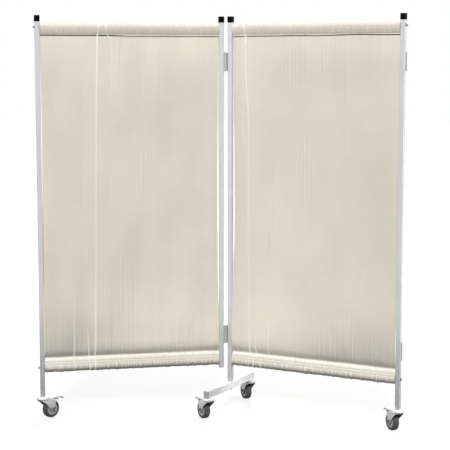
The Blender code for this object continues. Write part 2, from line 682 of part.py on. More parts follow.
def hub_mesh():
    """Wheel hub about its axle: boss, recess and ring on both sides."""
    bore = across_flats(AXLE_RADIUS + SEAT_GAP, HUB_SIDES)
    boss = leg_inner - SEAT_GAP
    ring = WHEEL_WIDTH / 2 - HUB_RING_SET
    floor = ring - HUB_RECESS
    half = (
        (bore, boss), (HUB_BOSS_RADIUS, boss), (HUB_BOSS_RADIUS, floor), (HUB_RING_RADIUS, floor),
        (HUB_RING_RADIUS, ring), (HUB_RADIUS, ring),
    )
    profile = list(half) + [(radius, -along) for radius, along in reversed(half)]
    bm = bmesh.new()
    turned(bm, profile, HUB_SIDES, "Y", hollow=True)
    return to_mesh(bm, "hub")


def tyre_mesh():
    inner = HUB_RADIUS + SEAT_GAP
    half = []
    for out_share, width_share in TYRE_SHARES:
        radius = inner + (WHEEL_RADIUS - inner) * out_share
        half.append((across_flats(radius, TYRE_SIDES), width_share * WHEEL_WIDTH / 2))
    profile = half + [(radius, -along) for radius, along in reversed(half)]
    bm = bmesh.new()
    turned(bm, profile, TYRE_SIDES, "Y", hollow=True)
    return to_mesh(bm, "tyre")


def axle_mesh():
    """Axle bolt with its head on one side of the fork and its nut on the other."""
    seat = leg_outer + SEAT_GAP
    end = seat + AXLE_HEAD_HEIGHT
    edge = (seat + end) / 2
    half = ((AXLE_RADIUS, end), (AXLE_HEAD_RADIUS, edge), (AXLE_HEAD_RADIUS, seat), (AXLE_RADIUS, seat))
    profile = list(half) + [(radius, -along) for radius, along in reversed(half)]
    bm = bmesh.new()
    turned(bm, profile, SMALL_SIDES, "Y")
    return to_mesh(bm, "axle")


def pedal_mesh():
    """Brake pedal about its pivot: tread plate, narrowing tip and shoe, with its pin across the fork."""
    outline = [(PEDAL_LENGTH * out, PEDAL_RISE * up) for out, up in PEDAL_SHARES]
    half = leg_inner - SEAT_GAP
    reach = half + CUT_OVERRUN
    bm = bmesh.new()
    prism(bm, outline, -reach, reach, "Y")
    plan = bmesh.new()
    shoulder = PEDAL_LENGTH * PEDAL_SHOULDER_SHARE
    tip = PEDAL_LENGTH + CUT_OVERRUN
    narrow = half * PEDAL_TIP_SHARE
    shape = (
        (-PEDAL_LENGTH, -half), (shoulder, -half), (tip, -narrow), (tip, narrow), (shoulder, half),
        (-PEDAL_LENGTH, half),
    )
    prism(plan, shape, -PEDAL_LENGTH, PEDAL_LENGTH)
    pin = bmesh.new()
    reach = leg_outer + LEG_SPREAD
    turned(pin, ((PEDAL_PIN_RADIUS, -reach), (PEDAL_PIN_RADIUS, reach)), SMALL_SIDES, "Y")
    mesh = combined(to_mesh(bm, "pedal"), plan, "INTERSECT")
    return combined(mesh, pin, "UNION")


def make_castor(name, parent, side_out, depth, heading, meshes):
    """A braked swivel castor under a post or the bar. Its wheel trails along the heading."""
    foot = empty(name + "_foot", parent, (side_out, depth, 0.0))
    place(name + "_stem", meshes["stem"], CASTOR_STEEL, foot)
    swivel = empty(name + "_swivel", foot, heading=heading)
    place(name + "_fork", meshes["fork"], CASTOR_STEEL, swivel)
    place(name + "_axle", meshes["axle"], DARK_STEEL, swivel, (CASTOR_OFFSET, 0.0, WHEEL_RADIUS))
    wheel = empty(name + "_wheel", swivel, (CASTOR_OFFSET, 0.0, WHEEL_RADIUS))
    place(name + "_hub", meshes["hub"], HUB_PLASTIC, wheel)
    place(name + "_tyre", meshes["tyre"], TYRE_RUBBER, wheel)
    brake = empty(name + "_brake", swivel, (PEDAL_PIVOT_OUT, 0.0, PEDAL_PIVOT_UP))
    place(name + "_pedal", meshes["pedal"], CASTOR_STEEL, brake)


def make_section(name, parent, side, folds):
    """What both sections have: two posts, two rails, their fixings, a curtain and a pair of hinge leaves."""
    inner_foot = base_top + SEAT_GAP if side > 0 else short_foot
    make_post(name + "_outer_post", parent, side, SECTION_REACH, castor_height)
    make_post(name + "_inner_post", parent, side, inner_post_out, inner_foot)
    make_cap(name + "_outer_cap", parent, side, SECTION_REACH)
    make_cap(name + "_inner_cap", parent, side, inner_post_out)
    outer_face = SECTION_REACH + POST_SIZE / 2
    outer_head = (OUTER_HEAD_RADIUS, OUTER_HEAD_HEIGHT)
    inner_head = (INNER_HEAD_RADIUS, INNER_HEAD_HEIGHT)
    for level, height in (("_upper", top_rail_height), ("_lower", low_rail_height)):
        make_rail(name + level + "_rail", parent, side, height)
        make_rail_bolt(name + level + "_outer_bolt", parent, side, height, outer_face, -1, outer_head)
        make_rail_bolt(name + level + "_inner_screw", parent, side, height, AXIS_TO_POST, 1, inner_head)
    for level, middle in hinge_heights.items():
        make_leaf(name + "_" + level + "_leaf", parent, side, middle)
    make_curtain(name + "_curtain", parent, side, folds)


def make_screen():
    meshes = {"stem": stem_mesh(), "fork": fork_mesh(), "hub": hub_mesh(), "tyre": tyre_mesh()}
    meshes["axle"] = axle_mesh()
    meshes["pedal"] = pedal_mesh()
    screen = empty("screen")
    left = empty("left_section", screen, heading=SECTION_LEAN)
    right = empty("right_section", screen, heading=-SECTION_LEAN)
    make_section("left", left, -1, LEFT_FOLD_SHARES)
    make_section("right", right, 1, RIGHT_FOLD_SHARES)
    for level, middle in hinge_heights.items():
        make_hinge_pin(level + "_hinge_pin", right, middle)
        make_extension_plate(level + "_extension_plate", right, middle)
    make_foot_plug("short_post_plug", left)
    make_foot_insert("foot_insert", right)
    make_base_bar("base_bar", right)
    make_base_plug("front_bar_plug", right, post_depth - BASE_FRONT, 1)
    make_base_plug("rear_bar_plug", right, post_depth + BASE_BACK, -1)
    make_base_bolt("base_bolt", right)
    make_castor("left_castor", left, -SECTION_REACH, post_depth, LEFT_HEADING - SECTION_LEAN, meshes)
    make_castor("right_castor", right, SECTION_REACH, post_depth, RIGHT_HEADING + SECTION_LEAN, meshes)
    front_depth = base_castor_depths["front"]
    rear_depth = base_castor_depths["rear"]
    make_castor("front_castor", right, inner_post_out, front_depth, FRONT_HEADING + SECTION_LEAN, meshes)
    make_castor("rear_castor", right, inner_post_out, rear_depth, REAR_HEADING + SECTION_LEAN, meshes)
    return screen


def centre_on_floor(screen):
    """Move the whole screen so that the middle of its outline on the floor is the origin."""
    bpy.context.view_layer.update()
    corners = []
    for piece in bpy.data.objects:
        if piece.type == "MESH":
            corners += [piece.matrix_world @ vertex.co for vertex in piece.data.vertices]
    lows = [min(corner[axis] for corner in corners) for axis in range(3)]
    highs = [max(corner[axis] for corner in corners) for axis in range(3)]
    screen.location = (-(lows[0] + highs[0]) / 2, -(lows[1] + highs[1]) / 2, -lows[2])
    bpy.context.view_layer.update()


for old in list(bpy.data.objects):
    bpy.data.objects.remove(old)
centre_on_floor(make_screen())
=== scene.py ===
# Folding medical screen: two curtained sections hinged in an open V, on four braked castors
import json
import math
import random

import bmesh
import bpy
import numpy as np
from mathutils import Matrix, Vector

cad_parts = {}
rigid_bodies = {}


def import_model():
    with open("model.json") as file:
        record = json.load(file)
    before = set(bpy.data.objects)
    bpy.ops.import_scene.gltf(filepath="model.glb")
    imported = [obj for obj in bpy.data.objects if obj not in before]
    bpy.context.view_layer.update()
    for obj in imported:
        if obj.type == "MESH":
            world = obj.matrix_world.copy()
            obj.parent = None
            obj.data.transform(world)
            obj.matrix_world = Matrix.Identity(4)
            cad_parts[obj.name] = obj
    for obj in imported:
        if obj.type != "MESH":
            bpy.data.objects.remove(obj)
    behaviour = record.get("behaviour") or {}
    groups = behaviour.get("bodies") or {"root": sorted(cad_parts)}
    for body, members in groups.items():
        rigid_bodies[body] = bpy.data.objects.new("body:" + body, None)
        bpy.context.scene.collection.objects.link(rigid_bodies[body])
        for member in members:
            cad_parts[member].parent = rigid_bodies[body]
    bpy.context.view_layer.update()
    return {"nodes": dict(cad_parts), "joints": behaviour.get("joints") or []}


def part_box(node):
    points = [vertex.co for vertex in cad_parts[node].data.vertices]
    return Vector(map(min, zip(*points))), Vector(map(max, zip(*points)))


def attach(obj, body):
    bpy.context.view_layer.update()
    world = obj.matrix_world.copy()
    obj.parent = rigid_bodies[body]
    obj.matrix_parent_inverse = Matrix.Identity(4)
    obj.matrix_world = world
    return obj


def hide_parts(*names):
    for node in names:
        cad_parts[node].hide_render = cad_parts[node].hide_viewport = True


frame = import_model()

print("frame loaded")

screen = {
    "lean": 20.0,  # degrees that each section turns out of the straight line
    "seed": 7,
}
sections = ((-1, "left"), (1, "right"))
joints = {joint["name"]: Vector(joint["pos_m"]) for joint in frame["joints"]}
hingeAxis = joints["panel_fold"]


def tone(red, green, blue):
    # Screen colour, 0 to 255, as Blender's linear colour
    shares = [value / 255 for value in (red, green, blue)]
    return tuple(v / 12.92 if v <= 0.04045 else ((v + 0.055) / 1.055) ** 2.4 for v in shares) + (1.0,)


def addObject(name, data):
    thing = bpy.data.objects.new(name, data)
    bpy.context.scene.collection.objects.link(thing)
    return thing


def sectionPlace(side):
    # Local axes of a section: out of the hinge axis, back, up
    lean = math.radians(screen["lean"]) * -side
    return Matrix.Translation(hingeAxis) @ Matrix.Rotation(lean, 4, "Z") @ Matrix.Diagonal((side, 1, 1, 1))


def newMesh(name, points, faces, edges=()):
    mesh = bpy.data.meshes.new(name)
    mesh.from_pydata(points, edges, faces)
    mesh.update()
    return mesh


def wrapMesh(name, mesh, smoothAngle=40.0):
    mesh.shade_smooth()
    mesh.set_sharp_from_angle(angle=math.radians(smoothAngle))
    return addObject(name, mesh)


def fit(piece, body, slot, material, *nodes):
    # What every finished piece gets: its material, its body and the nodes it stands for
    piece.data.materials.clear()
    piece.data.materials.append(material)
    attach(piece, body)
    if nodes:
        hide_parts(*nodes)
    return piece


shot = {
    "right": 0.8041,  # camera's place from the hinge axis
    "front": 5.5633,
    "height": 1.4704,
    "aim": (-0.1435, 0.98965),
    "down": 6.76,  # degrees
    "lens": 106.76,
    "sensor": 36.0,
}
cameraData = bpy.data.cameras.new("camera")
cameraData.lens = shot["lens"]
cameraData.sensor_width = shot["sensor"]
camera = addObject("camera", cameraData)
camera.location = (hingeAxis.x + shot["right"], hingeAxis.y - shot["front"], shot["height"])
down = math.radians(shot["down"])
sight = Vector((shot["aim"][0] * math.cos(down), shot["aim"][1] * math.cos(down), -math.sin(down)))
camera.rotation_euler = sight.to_track_quat("-Z", "Y").to_euler()
bpy.context.scene.camera = camera
print("camera set")


def addNode(tree, kind, values=None, **settings):
    node = tree.nodes.new(kind)
    for name, value in settings.items():
        setattr(node, name, value)
    for name, value in (values or {}).items():
        if isinstance(value, bpy.types.NodeSocket):
            tree.links.new(value, node.inputs[name])
        else:
            node.inputs[name].default_value = value
    return node


def calc(tree, operation, first, second=0.0, clamp=False):
    return addNode(tree, "ShaderNodeMath", {0: first, 1: second}, operation=operation, use_clamp=clamp).outputs[0]


def times(tree, first, second, clamp=False):
    return calc(tree, "MULTIPLY", first, second, clamp)


def plus(tree, first, second, clamp=False):
    return calc(tree, "ADD", first, second, clamp)


def spread(tree, value, low, high, start=0.0, end=1.0):
    values = {"Value": value, "From Min": low, "From Max": high, "To Min": start, "To Max": end}
    return addNode(tree, "ShaderNodeMapRange", values).outputs[0]


def mixTones(tree, share, first, second):
    return addNode(tree, "ShaderNodeMix", {0: share, 6: first, 7: second}, data_type="RGBA").outputs[2]


def vectorCalc(tree, operation, first, second, result=0):
    return addNode(tree, "ShaderNodeVectorMath", {0: first, 1: second}, operation=operation).outputs[result]


def shaded(tree, colour, shade):
    return addNode(tree, "ShaderNodeVectorMath", {0: colour[:3], "Scale": shade}, operation="SCALE").outputs[0]


def noise(tree, place, scale, detail, **more):
    return addNode(tree, "ShaderNodeTexNoise", {"Vector": place, "Scale": scale, "Detail": detail, **more}).outputs[0]


def objectPlace(tree):
    return addNode(tree, "ShaderNodeTexCoord").outputs["Object"]


def axes(tree, vector):
    return addNode(tree, "ShaderNodeSeparateXYZ", {0: vector}).outputs


def joinAxes(tree, *values):
    return addNode(tree, "ShaderNodeCombineXYZ", dict(enumerate(values))).outputs[0]


def markOn(tree, name):
    # A value that the mesh itself carries
    return addNode(tree, "ShaderNodeAttribute", attribute_name=name).outputs["Fac"]


def bumped(tree, height, strength, distance, **more):
    values = {"Height": height, "Strength": strength, "Distance": distance, **more}
    return addNode(tree, "ShaderNodeBump", values).outputs[0]


studio = {
    "floorSize": 60.0,
    "floorTone": (0.30, 0.30, 0.30, 1.0),
    "floorBounce": (0.06, 0.06, 0.06, 1.0),  # what it throws back up onto the screen
    "glow": (0.64, 1.0),  # near and far, seen by the camera and in reflections only
    "glowReach": (0.9, 2.6),  # metres from the middle between which it grows
    "skyLight": (0.08, 0.50),  # level with the eye, overhead
    "skyTop": 0.9,
    "skyTone": (1.0, 0.995, 0.985, 1.0),
}
lamps = {  # place, aim height, side of the square in metres, watts
    "keyLamp": ((0.8, -12.35, 8.5), 0.9, 3.6, 1700.0),
    "topLamp": ((0.0, -1.2, 4.8), 0.9, 2.0, 34.0),
    "sideLamp": ((4.3, 0.1, 1.3), 0.5, 1.4, 120.0),
    "fillLamp": ((-4.4, -1.8, 2.2), 0.9, 1.6, 42.0),
    "backLamp": ((-0.5, 5.6, 4.4), 1.0, 2.2, 300.0),
}


def emptyTree(holder):
    holder.use_nodes = True
    holder.node_tree.nodes.clear()
    return holder.node_tree


def lightPathShare(tree):
    # 1 for rays from the camera, and for what metal and clear things show
    path = addNode(tree, "ShaderNodeLightPath").outputs
    share = calc(tree, "MAXIMUM", path["Is Camera Ray"], path["Is Glossy Ray"])
    return calc(tree, "MAXIMUM", share, path["Is Transmission Ray"])


def makeSky():
    world = bpy.data.worlds.new("studio")
    bpy.context.scene.world = world
    tree = emptyTree(world)
    sight = addNode(tree, "ShaderNodeTexCoord").outputs["Generated"]
    level = spread(tree, axes(tree, sight)[2], 0.0, studio["skyTop"], *studio["skyLight"])
    soft = addNode(tree, "ShaderNodeBackground", {"Color": studio["skyTone"], "Strength": level})
    white = addNode(tree, "ShaderNodeBackground", {"Color": (1.0, 1.0, 1.0, 1.0), "Strength": 1.0})
    both = addNode(tree, "ShaderNodeMixShader", {0: lightPathShare(tree), 1: soft.outputs[0], 2: white.outputs[0]})
    addNode(tree, "ShaderNodeOutputWorld", {"Surface": both.outputs[0]})


def makeFloor():
    half = studio["floorSize"] / 2
    corners = [(-half, -half, 0.0), (half, -half, 0.0), (half, half, 0.0), (-half, half, 0.0)]
    floor = wrapMesh("floor", newMesh("floor", corners, [(0, 1, 2, 3)]))
    floorPaint = bpy.data.materials.new("paleFloor")
    tree = emptyTree(floorPaint)
    colour = mixTones(tree, lightPathShare(tree), studio["floorBounce"], studio["floorTone"])
    matt = addNode(tree, "ShaderNodeBsdfDiffuse", {"Color": colour})
    away = addNode(tree, "ShaderNodeVectorMath", {0: objectPlace(tree)}, operation="LENGTH").outputs["Value"]
    level = spread(tree, away, *studio["glowReach"], *studio["glow"])
    glow = addNode(tree, "ShaderNodeEmission", {"Strength": times(tree, lightPathShare(tree), level)})
    both = addNode(tree, "ShaderNodeAddShader", {0: matt.outputs[0], 1: glow.outputs[0]})
    addNode(tree, "ShaderNodeOutputMaterial", {"Surface": both.outputs[0]})
    floor.data.materials.append(floorPaint)


makeSky()
makeFloor()
for name, (spot, aimHeight, side, watts) in lamps.items():
    lampData = bpy.data.lights.new(name, "AREA")
    lampData.size = side
    lampData.energy = watts
    lamp = addObject(name, lampData)
    lamp.location = spot
    aim = Vector((0.0, -0.05, aimHeight)) - Vector(spot)
    lamp.rotation_euler = aim.to_track_quat("-Z", "Y").to_euler()
bpy.context.scene.view_settings.view_transform = "Standard"
print("studio ready")


levels = {  # from none to full, in the measure that each effect starts from
    "edge": (0.995, 0.80),  # how far the bevelled normal agrees with the flat one
    "edgePatch": (0.42, 0.62),
    "rubPatch": (0.45, 0.7),
    "rubSoft": 0.09,
    "facingUp": (0.3, 1.0),
    "blotch": (0.35, 0.65),
    "middle": (0.3, 0.7),  # where nearly all of a noise lies
    "hollow": (0.35, 0.85),  # openness of a hollow, between which its painted shade starts and ends
    "floorGrey": (0.15, 0.48),  # height in metres over which the painted shade near the floor grows
}


def newGroup(name, **inputs):
    group = bpy.data.node_groups.new(name, "ShaderNodeTree")
    for label, value in inputs.items():
        group.interface.new_socket(label, in_out="INPUT", socket_type="NodeSocketFloat").default_value = value
    return group, addNode(group, "NodeGroupInput").outputs


def endGroup(group, **results):
    for label in results:
        group.interface.new_socket(label, in_out="OUTPUT", socket_type="NodeSocketFloat")
    addNode(group, "NodeGroupOutput", results)
    return group


def useGroup(tree, group, **values):
    return addNode(tree, "ShaderNodeGroup", values, node_tree=group).outputs


def makeWearGroup():
    # Rubbed edges: the bevelled normal parts from the face's own near an edge
    group, given = newGroup("edgeWear", Width=0.001, Patch=60.0, Amount=1.0)
    rounded = addNode(group, "ShaderNodeBevel", {"Radius": given["Width"]}, samples=4).outputs[0]
    flat = addNode(group, "ShaderNodeNewGeometry").outputs["Normal"]
    edge = spread(group, vectorCalc(group, "DOT_PRODUCT", rounded, flat, "Value"), *levels["edge"])
    patch = noise(group, objectPlace(group), given["Patch"], 4.0, Roughness=0.6)
    worn = times(group, edge, spread(group, patch, *levels["edgePatch"]))
    return endGroup(group, Mask=times(group, worn, given["Amount"], True))


def makeGrainGroup():
    # Fine skin of a sprayed or moulded surface, and its slow cloudiness
    group, given = newGroup("surfaceGrain", Fine=900.0, Cloud=9.0)
    place = objectPlace(group)
    fine = noise(group, place, given["Fine"], 2.0)
    return endGroup(group, Grain=fine, Cloud=noise(group, place, given["Cloud"], 5.0, Roughness=0.55))


def makeScuffGroup():
    # Long thin rub marks that run up and down, as hands and trolleys leave them
    group, given = newGroup("rubMarks", Across=260.0, Along=14.0, Cover=0.5)
    place = objectPlace(group)
    stretch = joinAxes(group, given["Across"], given["Across"], given["Along"])
    marks = noise(group, vectorCalc(group, "MULTIPLY", place, stretch), 1.0, 3.0, Distortion=0.4)
    patch = noise(group, place, 7.0, 2.0)
    high = calc(group, "SUBTRACT", 1.0, times(group, given["Cover"], 0.5))
    line = spread(group, marks, calc(group, "SUBTRACT", high, levels["rubSoft"]), high)
    return endGroup(group, Mask=times(group, line, spread(group, patch, *levels["rubPatch"]), True))


def makeDustGroup():
    # Dust that settles on what faces up, and dirt thrown up near the floor
    group, given = newGroup("dustAndDirt", Settled=0.5, Splash=0.5, Reach=0.25)
    place = objectPlace(group)
    facing = axes(group, addNode(group, "ShaderNodeNewGeometry").outputs["Normal"])[2]
    blotch = noise(group, place, 55.0, 6.0, Roughness=0.65)
    up = times(group, spread(group, facing, *levels["facingUp"]), given["Settled"])
    low = times(group, spread(group, axes(group, place)[2], given["Reach"], 0.0), given["Splash"])
    return endGroup(group, Mask=times(group, plus(group, up, low), spread(group, blotch, *levels["blotch"]), True))


def makePuckerGroup():
    # Fine gathers along the cut's length, too small for the mesh
    group, given = newGroup("finePuckers", Across=430.0, Along=26.0)
    sheet = addNode(group, "ShaderNodeUVMap", uv_map="cut").outputs[0]
    flat = axes(group, sheet)
    drift = noise(group, sheet, 24.0, 1.0)
    slant = plus(group, flat[0], times(group, drift, 0.010))
    place = joinAxes(group, times(group, slant, given["Across"]), times(group, flat[1], given["Along"]))
    return endGroup(group, Height=spread(group, noise(group, place, 1.0, 3.0, Roughness=0.6), *levels["middle"]))


def makeWeaveGroup():
    # Plain weave on a UV map in metres: threads over and under, uneven thread by thread
    group, given = newGroup("plainWeave", Pitch=0.00055, Slub=0.5)
    sheet = addNode(group, "ShaderNodeUVMap", uv_map="cut").outputs[0]
    count = calc(group, "DIVIDE", math.pi, given["Pitch"])
    warp, weft = [calc(group, "SINE", times(group, axis, count)) for axis in axes(group, sheet)[:2]]
    both = times(group, calc(group, "ABSOLUTE", warp), calc(group, "ABSOLUTE", weft))
    height = plus(group, both, times(group, times(group, warp, weft), 0.3))
    slubs = []
    for stretch in ((1500.0, 22.0, 1.0), (18.0, 1300.0, 1.0)):
        uneven = noise(group, vectorCalc(group, "MULTIPLY", sheet, stretch), 1.0, 2.0)
        slubs.append(spread(group, uneven, *levels["middle"]))
    shade = times(group, plus(group, *slubs), times(group, given["Slub"], 0.5))
    return endGroup(group, Height=plus(group, height, shade), Shade=shade)


edgeWear = makeWearGroup()
surfaceGrain = makeGrainGroup()
rubMarks = makeScuffGroup()
dustAndDirt = makeDustGroup()
finePuckers = makePuckerGroup()
plainWeave = makeWeaveGroup()
print("shader groups built")


plainFinish = {
    "metal": 0.0,
    "rough": 0.40,
    "vary": 0.12,  # how much the roughness varies
    "shine": 0.4,
    "fine": 900.0,  # grain per metre, and its depth in metres
    "depth": 0.00004,
    "edge": 0.0006,  # width of the worn edges
    "wear": 0.5,
    "marks": 0.20,
    "settled": 0.12,  # dust on top
    "splash": 0.20,  # dirt from the floor, and how high it reaches
    "reach": 0.25,
}
hardFinishes = {
    # What differs from the plain finish. Some have painted shade in hollows, painted shade on the pedal's toe,
    # or "low", painted shade that makes them greyer towards the floor
    # The white paint's dirt splash reaches high: partly dirt, partly painted shade on the posts' lower ends
    "white_paint": dict(body=(204, 204, 208), worn=(165, 164, 162), vary=0.10, shine=0.35, fine=1500.0, depth=0.00003,
                        edge=0.0009, settled=0.15, splash=0.50, reach=0.42, low=0.36),
    "bar_paint": dict(body=(237, 237, 238), worn=(150, 149, 147), shine=0.35, fine=1500.0, edge=0.0010, wear=0.7,
                      marks=0.35, settled=0.20),
    "black_cap": dict(body=(9, 9, 10), worn=(30, 30, 31), rough=0.50, vary=0.10, shine=0.03, fine=2200.0, depth=0.00005,
                      wear=0.35, marks=0.15, settled=0.05, splash=0.0),
    "zinc_fitting": dict(body=(164, 164, 163), worn=(206, 205, 203), metal=0.55, vary=0.16, shine=0.5, fine=700.0,
                         edge=0.0007, marks=0.25, splash=0.15),
    "castor_steel": dict(body=(207, 207, 209), worn=(160, 160, 161), metal=0.25, rough=0.33, vary=0.14, shine=0.5,
                         edge=0.0007, wear=0.6, marks=0.25, settled=0.18, splash=0.30, hollow=0.86),
    "plated_cup": dict(body=(246, 246, 247), worn=(190, 190, 191), rough=0.34, wear=0.4, settled=0.08, splash=0.05),
    "pedal_steel": dict(body=(236, 236, 238), worn=(165, 165, 166), rough=0.36, marks=0.25, splash=0.10,
                        toe=(66, 66, 68)),
    "rail_bolt": dict(body=(126, 126, 128), worn=(170, 170, 171), metal=0.5, shine=0.5, edge=0.0005),
    "axle_steel": dict(body=(84, 84, 87), worn=(140, 140, 142), metal=0.8, rough=0.38, vary=0.15, shine=0.5,
                       edge=0.0005, wear=0.7, settled=0.15, splash=0.35),
    "hub_plastic": dict(body=(180, 180, 182), worn=(178, 178, 180), rough=0.46, fine=1800.0, depth=0.00005, wear=0.4,
                        splash=0.45, hollow=0.55),
    "plug_plastic": dict(body=(168, 168, 170), worn=(190, 190, 191), rough=0.50, vary=0.10, fine=1800.0, depth=0.00005,
                         wear=0.35, settled=0.15, splash=0.30),
    "grey_tyre": dict(body=(72, 72, 75), worn=(112, 111, 110), rough=0.72, shine=0.25, fine=2600.0, depth=0.00007,
                      edge=0.0012, wear=0.6, marks=0.3, settled=0.08, splash=0.25),
}
mixing = {  # how strongly each mask shows in the colour, the roughness and the relief
    "cloud": (0.94, 1.04),
    "hollowReach": 0.04,
    "marks": 0.35,
    "dirt": 0.6,
    "toe": 0.40,
    "dirtRough": 0.3,
    "marksRough": 0.12,
    "marksDeep": -0.8,
}
# The two inner posts get a lighter copy of the white paint, with less painted shade towards the floor: painted light
hardFinishes["inner_paint"] = dict(hardFinishes["white_paint"], body=(212, 212, 216), low=0.22)
dirtTone = tone(116, 113, 107)
clothLook = {
    "body": tone(223, 216, 202),
    "pressed": tone(254, 250, 240),  # painted highlight along sharp creases and on the lower hem's front
    "hollow": 0.40,  # painted shade deep between puckers, and painted highlight on top of them
    "proud": 0.16,
    "furrow": 0.42,  # how strongly the fine puckers' painted shade darkens the hems
    "furrowLevel": 0.55,
    "puckerDepth": 0.0007,
    "soiled": tone(186, 176, 156),
    "slub": 0.5,
    "rough": (0.78, 0.92),
    "sheen": 0.05,
    "sheenRough": 0.45,
    "shine": 0.25,
    "bump": 0.45,
    "threadDepth": 0.00018,
}
threadLook = {
    "body": tone(203, 195, 178),
    "rough": (0.62, 0.78),
}


def newMaterial(name):
    material = bpy.data.materials.new(name)
    return material, emptyTree(material)


def endMaterial(material, values):
    tree = material.node_tree
    shader = addNode(tree, "ShaderNodeBsdfPrincipled", values)
    addNode(tree, "ShaderNodeOutputMaterial", {"Surface": shader.outputs[0]})
    return material


def hardMaterial(name, look):
    look = {**plainFinish, **look}
    material, tree = newMaterial(name)
    grain = useGroup(tree, surfaceGrain, Fine=look["fine"])
    wear = useGroup(tree, edgeWear, Width=look["edge"], Amount=look["wear"])[0]
    marks = useGroup(tree, rubMarks, Cover=look["marks"])[0]
    dirt = useGroup(tree, dustAndDirt, Settled=look["settled"], Splash=look["splash"], Reach=look["reach"])[0]
    shade = spread(tree, grain["Cloud"], *levels["middle"], *mixing["cloud"])
    # Painted shade in hollows and recesses, from the piece's own ambient occlusion
    if "hollow" in look:
        values = {"Distance": mixing["hollowReach"]}
        occlusionShade = addNode(tree, "ShaderNodeAmbientOcclusion", values, samples=8, only_local=True)
        shade = times(tree, shade, spread(tree, occlusionShade.outputs["AO"], *levels["hollow"], 1.0 - look["hollow"], 1.0))
    # Painted shade: darker towards the floor
    if "low" in look:
        height = axes(tree, objectPlace(tree))[2]
        shade = times(tree, shade, spread(tree, height, *levels["floorGrey"], 1.0 - look["low"], 1.0))
    worn = tone(*look["worn"])
    colour = mixTones(tree, wear, shaded(tree, tone(*look["body"]), shade), worn)
    colour = mixTones(tree, times(tree, marks, mixing["marks"]), colour, worn)
    colour = mixTones(tree, times(tree, dirt, mixing["dirt"]), colour, dirtTone)
    # Painted shade on the pedal's toe
    if "toe" in look:
        toe = times(tree, markOn(tree, "scuffed"), mixing["toe"])
        colour = mixTones(tree, toe, colour, tone(*look["toe"]))
    half = look["vary"] / 2
    rough = spread(tree, grain["Cloud"], *levels["middle"], look["rough"] - half, look["rough"] + half)
    rough = plus(tree, rough, times(tree, dirt, mixing["dirtRough"]))
    rough = plus(tree, rough, times(tree, marks, mixing["marksRough"]), True)
    height = plus(tree, grain["Grain"], times(tree, marks, mixing["marksDeep"]))
    return endMaterial(material, {
        "Base Color": colour, "Roughness": rough, "Metallic": look["metal"], "Specular IOR Level": look["shine"],
        "Normal": bumped(tree, height, 0.5, look["depth"])})


def clothMaterial(name):
    material, tree = newMaterial(name)
    weave = useGroup(tree, plainWeave, Slub=clothLook["slub"])
    grain = useGroup(tree, surfaceGrain, Fine=420.0, Cloud=3.0)
    dirt = useGroup(tree, dustAndDirt, Settled=0.10, Splash=0.12, Reach=0.5)[0]
    puckers = useGroup(tree, finePuckers)[0]
    relief, hem = markOn(tree, "relief"), markOn(tree, "hem")
    cloud = spread(tree, grain["Cloud"], *levels["middle"], 0.93, 1.05)
    thread = spread(tree, weave["Shade"], 0.0, clothLook["slub"], 0.97, 1.02)
    # Painted shade and painted highlight from the mesh's relief
    low = times(tree, calc(tree, "MINIMUM", relief, 0.0), clothLook["hollow"])
    high = times(tree, calc(tree, "MAXIMUM", relief, 0.0), clothLook["proud"])
    rubbed = plus(tree, 1.0, plus(tree, low, high))
    shade = times(tree, times(tree, cloud, thread), rubbed)
    furrow = calc(tree, "SUBTRACT", puckers, clothLook["furrowLevel"])
    furrow = times(tree, furrow, times(tree, hem, clothLook["furrow"]))
    shade = times(tree, shade, plus(tree, 1.0, furrow))
    # Painted highlight along creases and on the lower hem
    pressed = mixTones(tree, markOn(tree, "crease"), shaded(tree, clothLook["body"], shade), clothLook["pressed"])
    height = plus(tree, weave["Height"], times(tree, grain["Grain"], 0.4))
    gathered = bumped(tree, times(tree, puckers, hem), 0.6, clothLook["puckerDepth"])
    return endMaterial(material, {
        "Base Color": mixTones(tree, times(tree, dirt, 0.5), pressed, clothLook["soiled"]),
        "Roughness": spread(tree, grain["Grain"], *levels["middle"], *clothLook["rough"]),
        "Sheen Weight": clothLook["sheen"], "Sheen Roughness": clothLook["sheenRough"],
        "Specular IOR Level": clothLook["shine"],
        "Normal": bumped(tree, height, clothLook["bump"], clothLook["threadDepth"], Normal=gathered)})


def threadMaterial(name):
    material, tree = newMaterial(name)
    grain = useGroup(tree, surfaceGrain, Fine=5200.0, Cloud=40.0)
    shade = spread(tree, grain["Cloud"], *levels["middle"], 0.90, 1.06)
    return endMaterial(material, {
        "Base Color": shaded(tree, threadLook["body"], shade),
        "Roughness": spread(tree, grain["Grain"], *levels["middle"], *threadLook["rough"]),
        "Normal": bumped(tree, grain["Grain"], 0.6, 0.0001)})


finishes = {name: hardMaterial(name, look) for name, look in hardFinishes.items()}
creamCloth = clothMaterial("creamCloth")
sewingThread = threadMaterial("sewingThread")
for node in frame["nodes"].values():
    slot = node.material_slots[0]
    finish = "inner_paint" if node.name.endswith("inner_post") else slot.material.name
    slot.material = finishes.get(finish, creamCloth)
print("materials built and given to the frame")


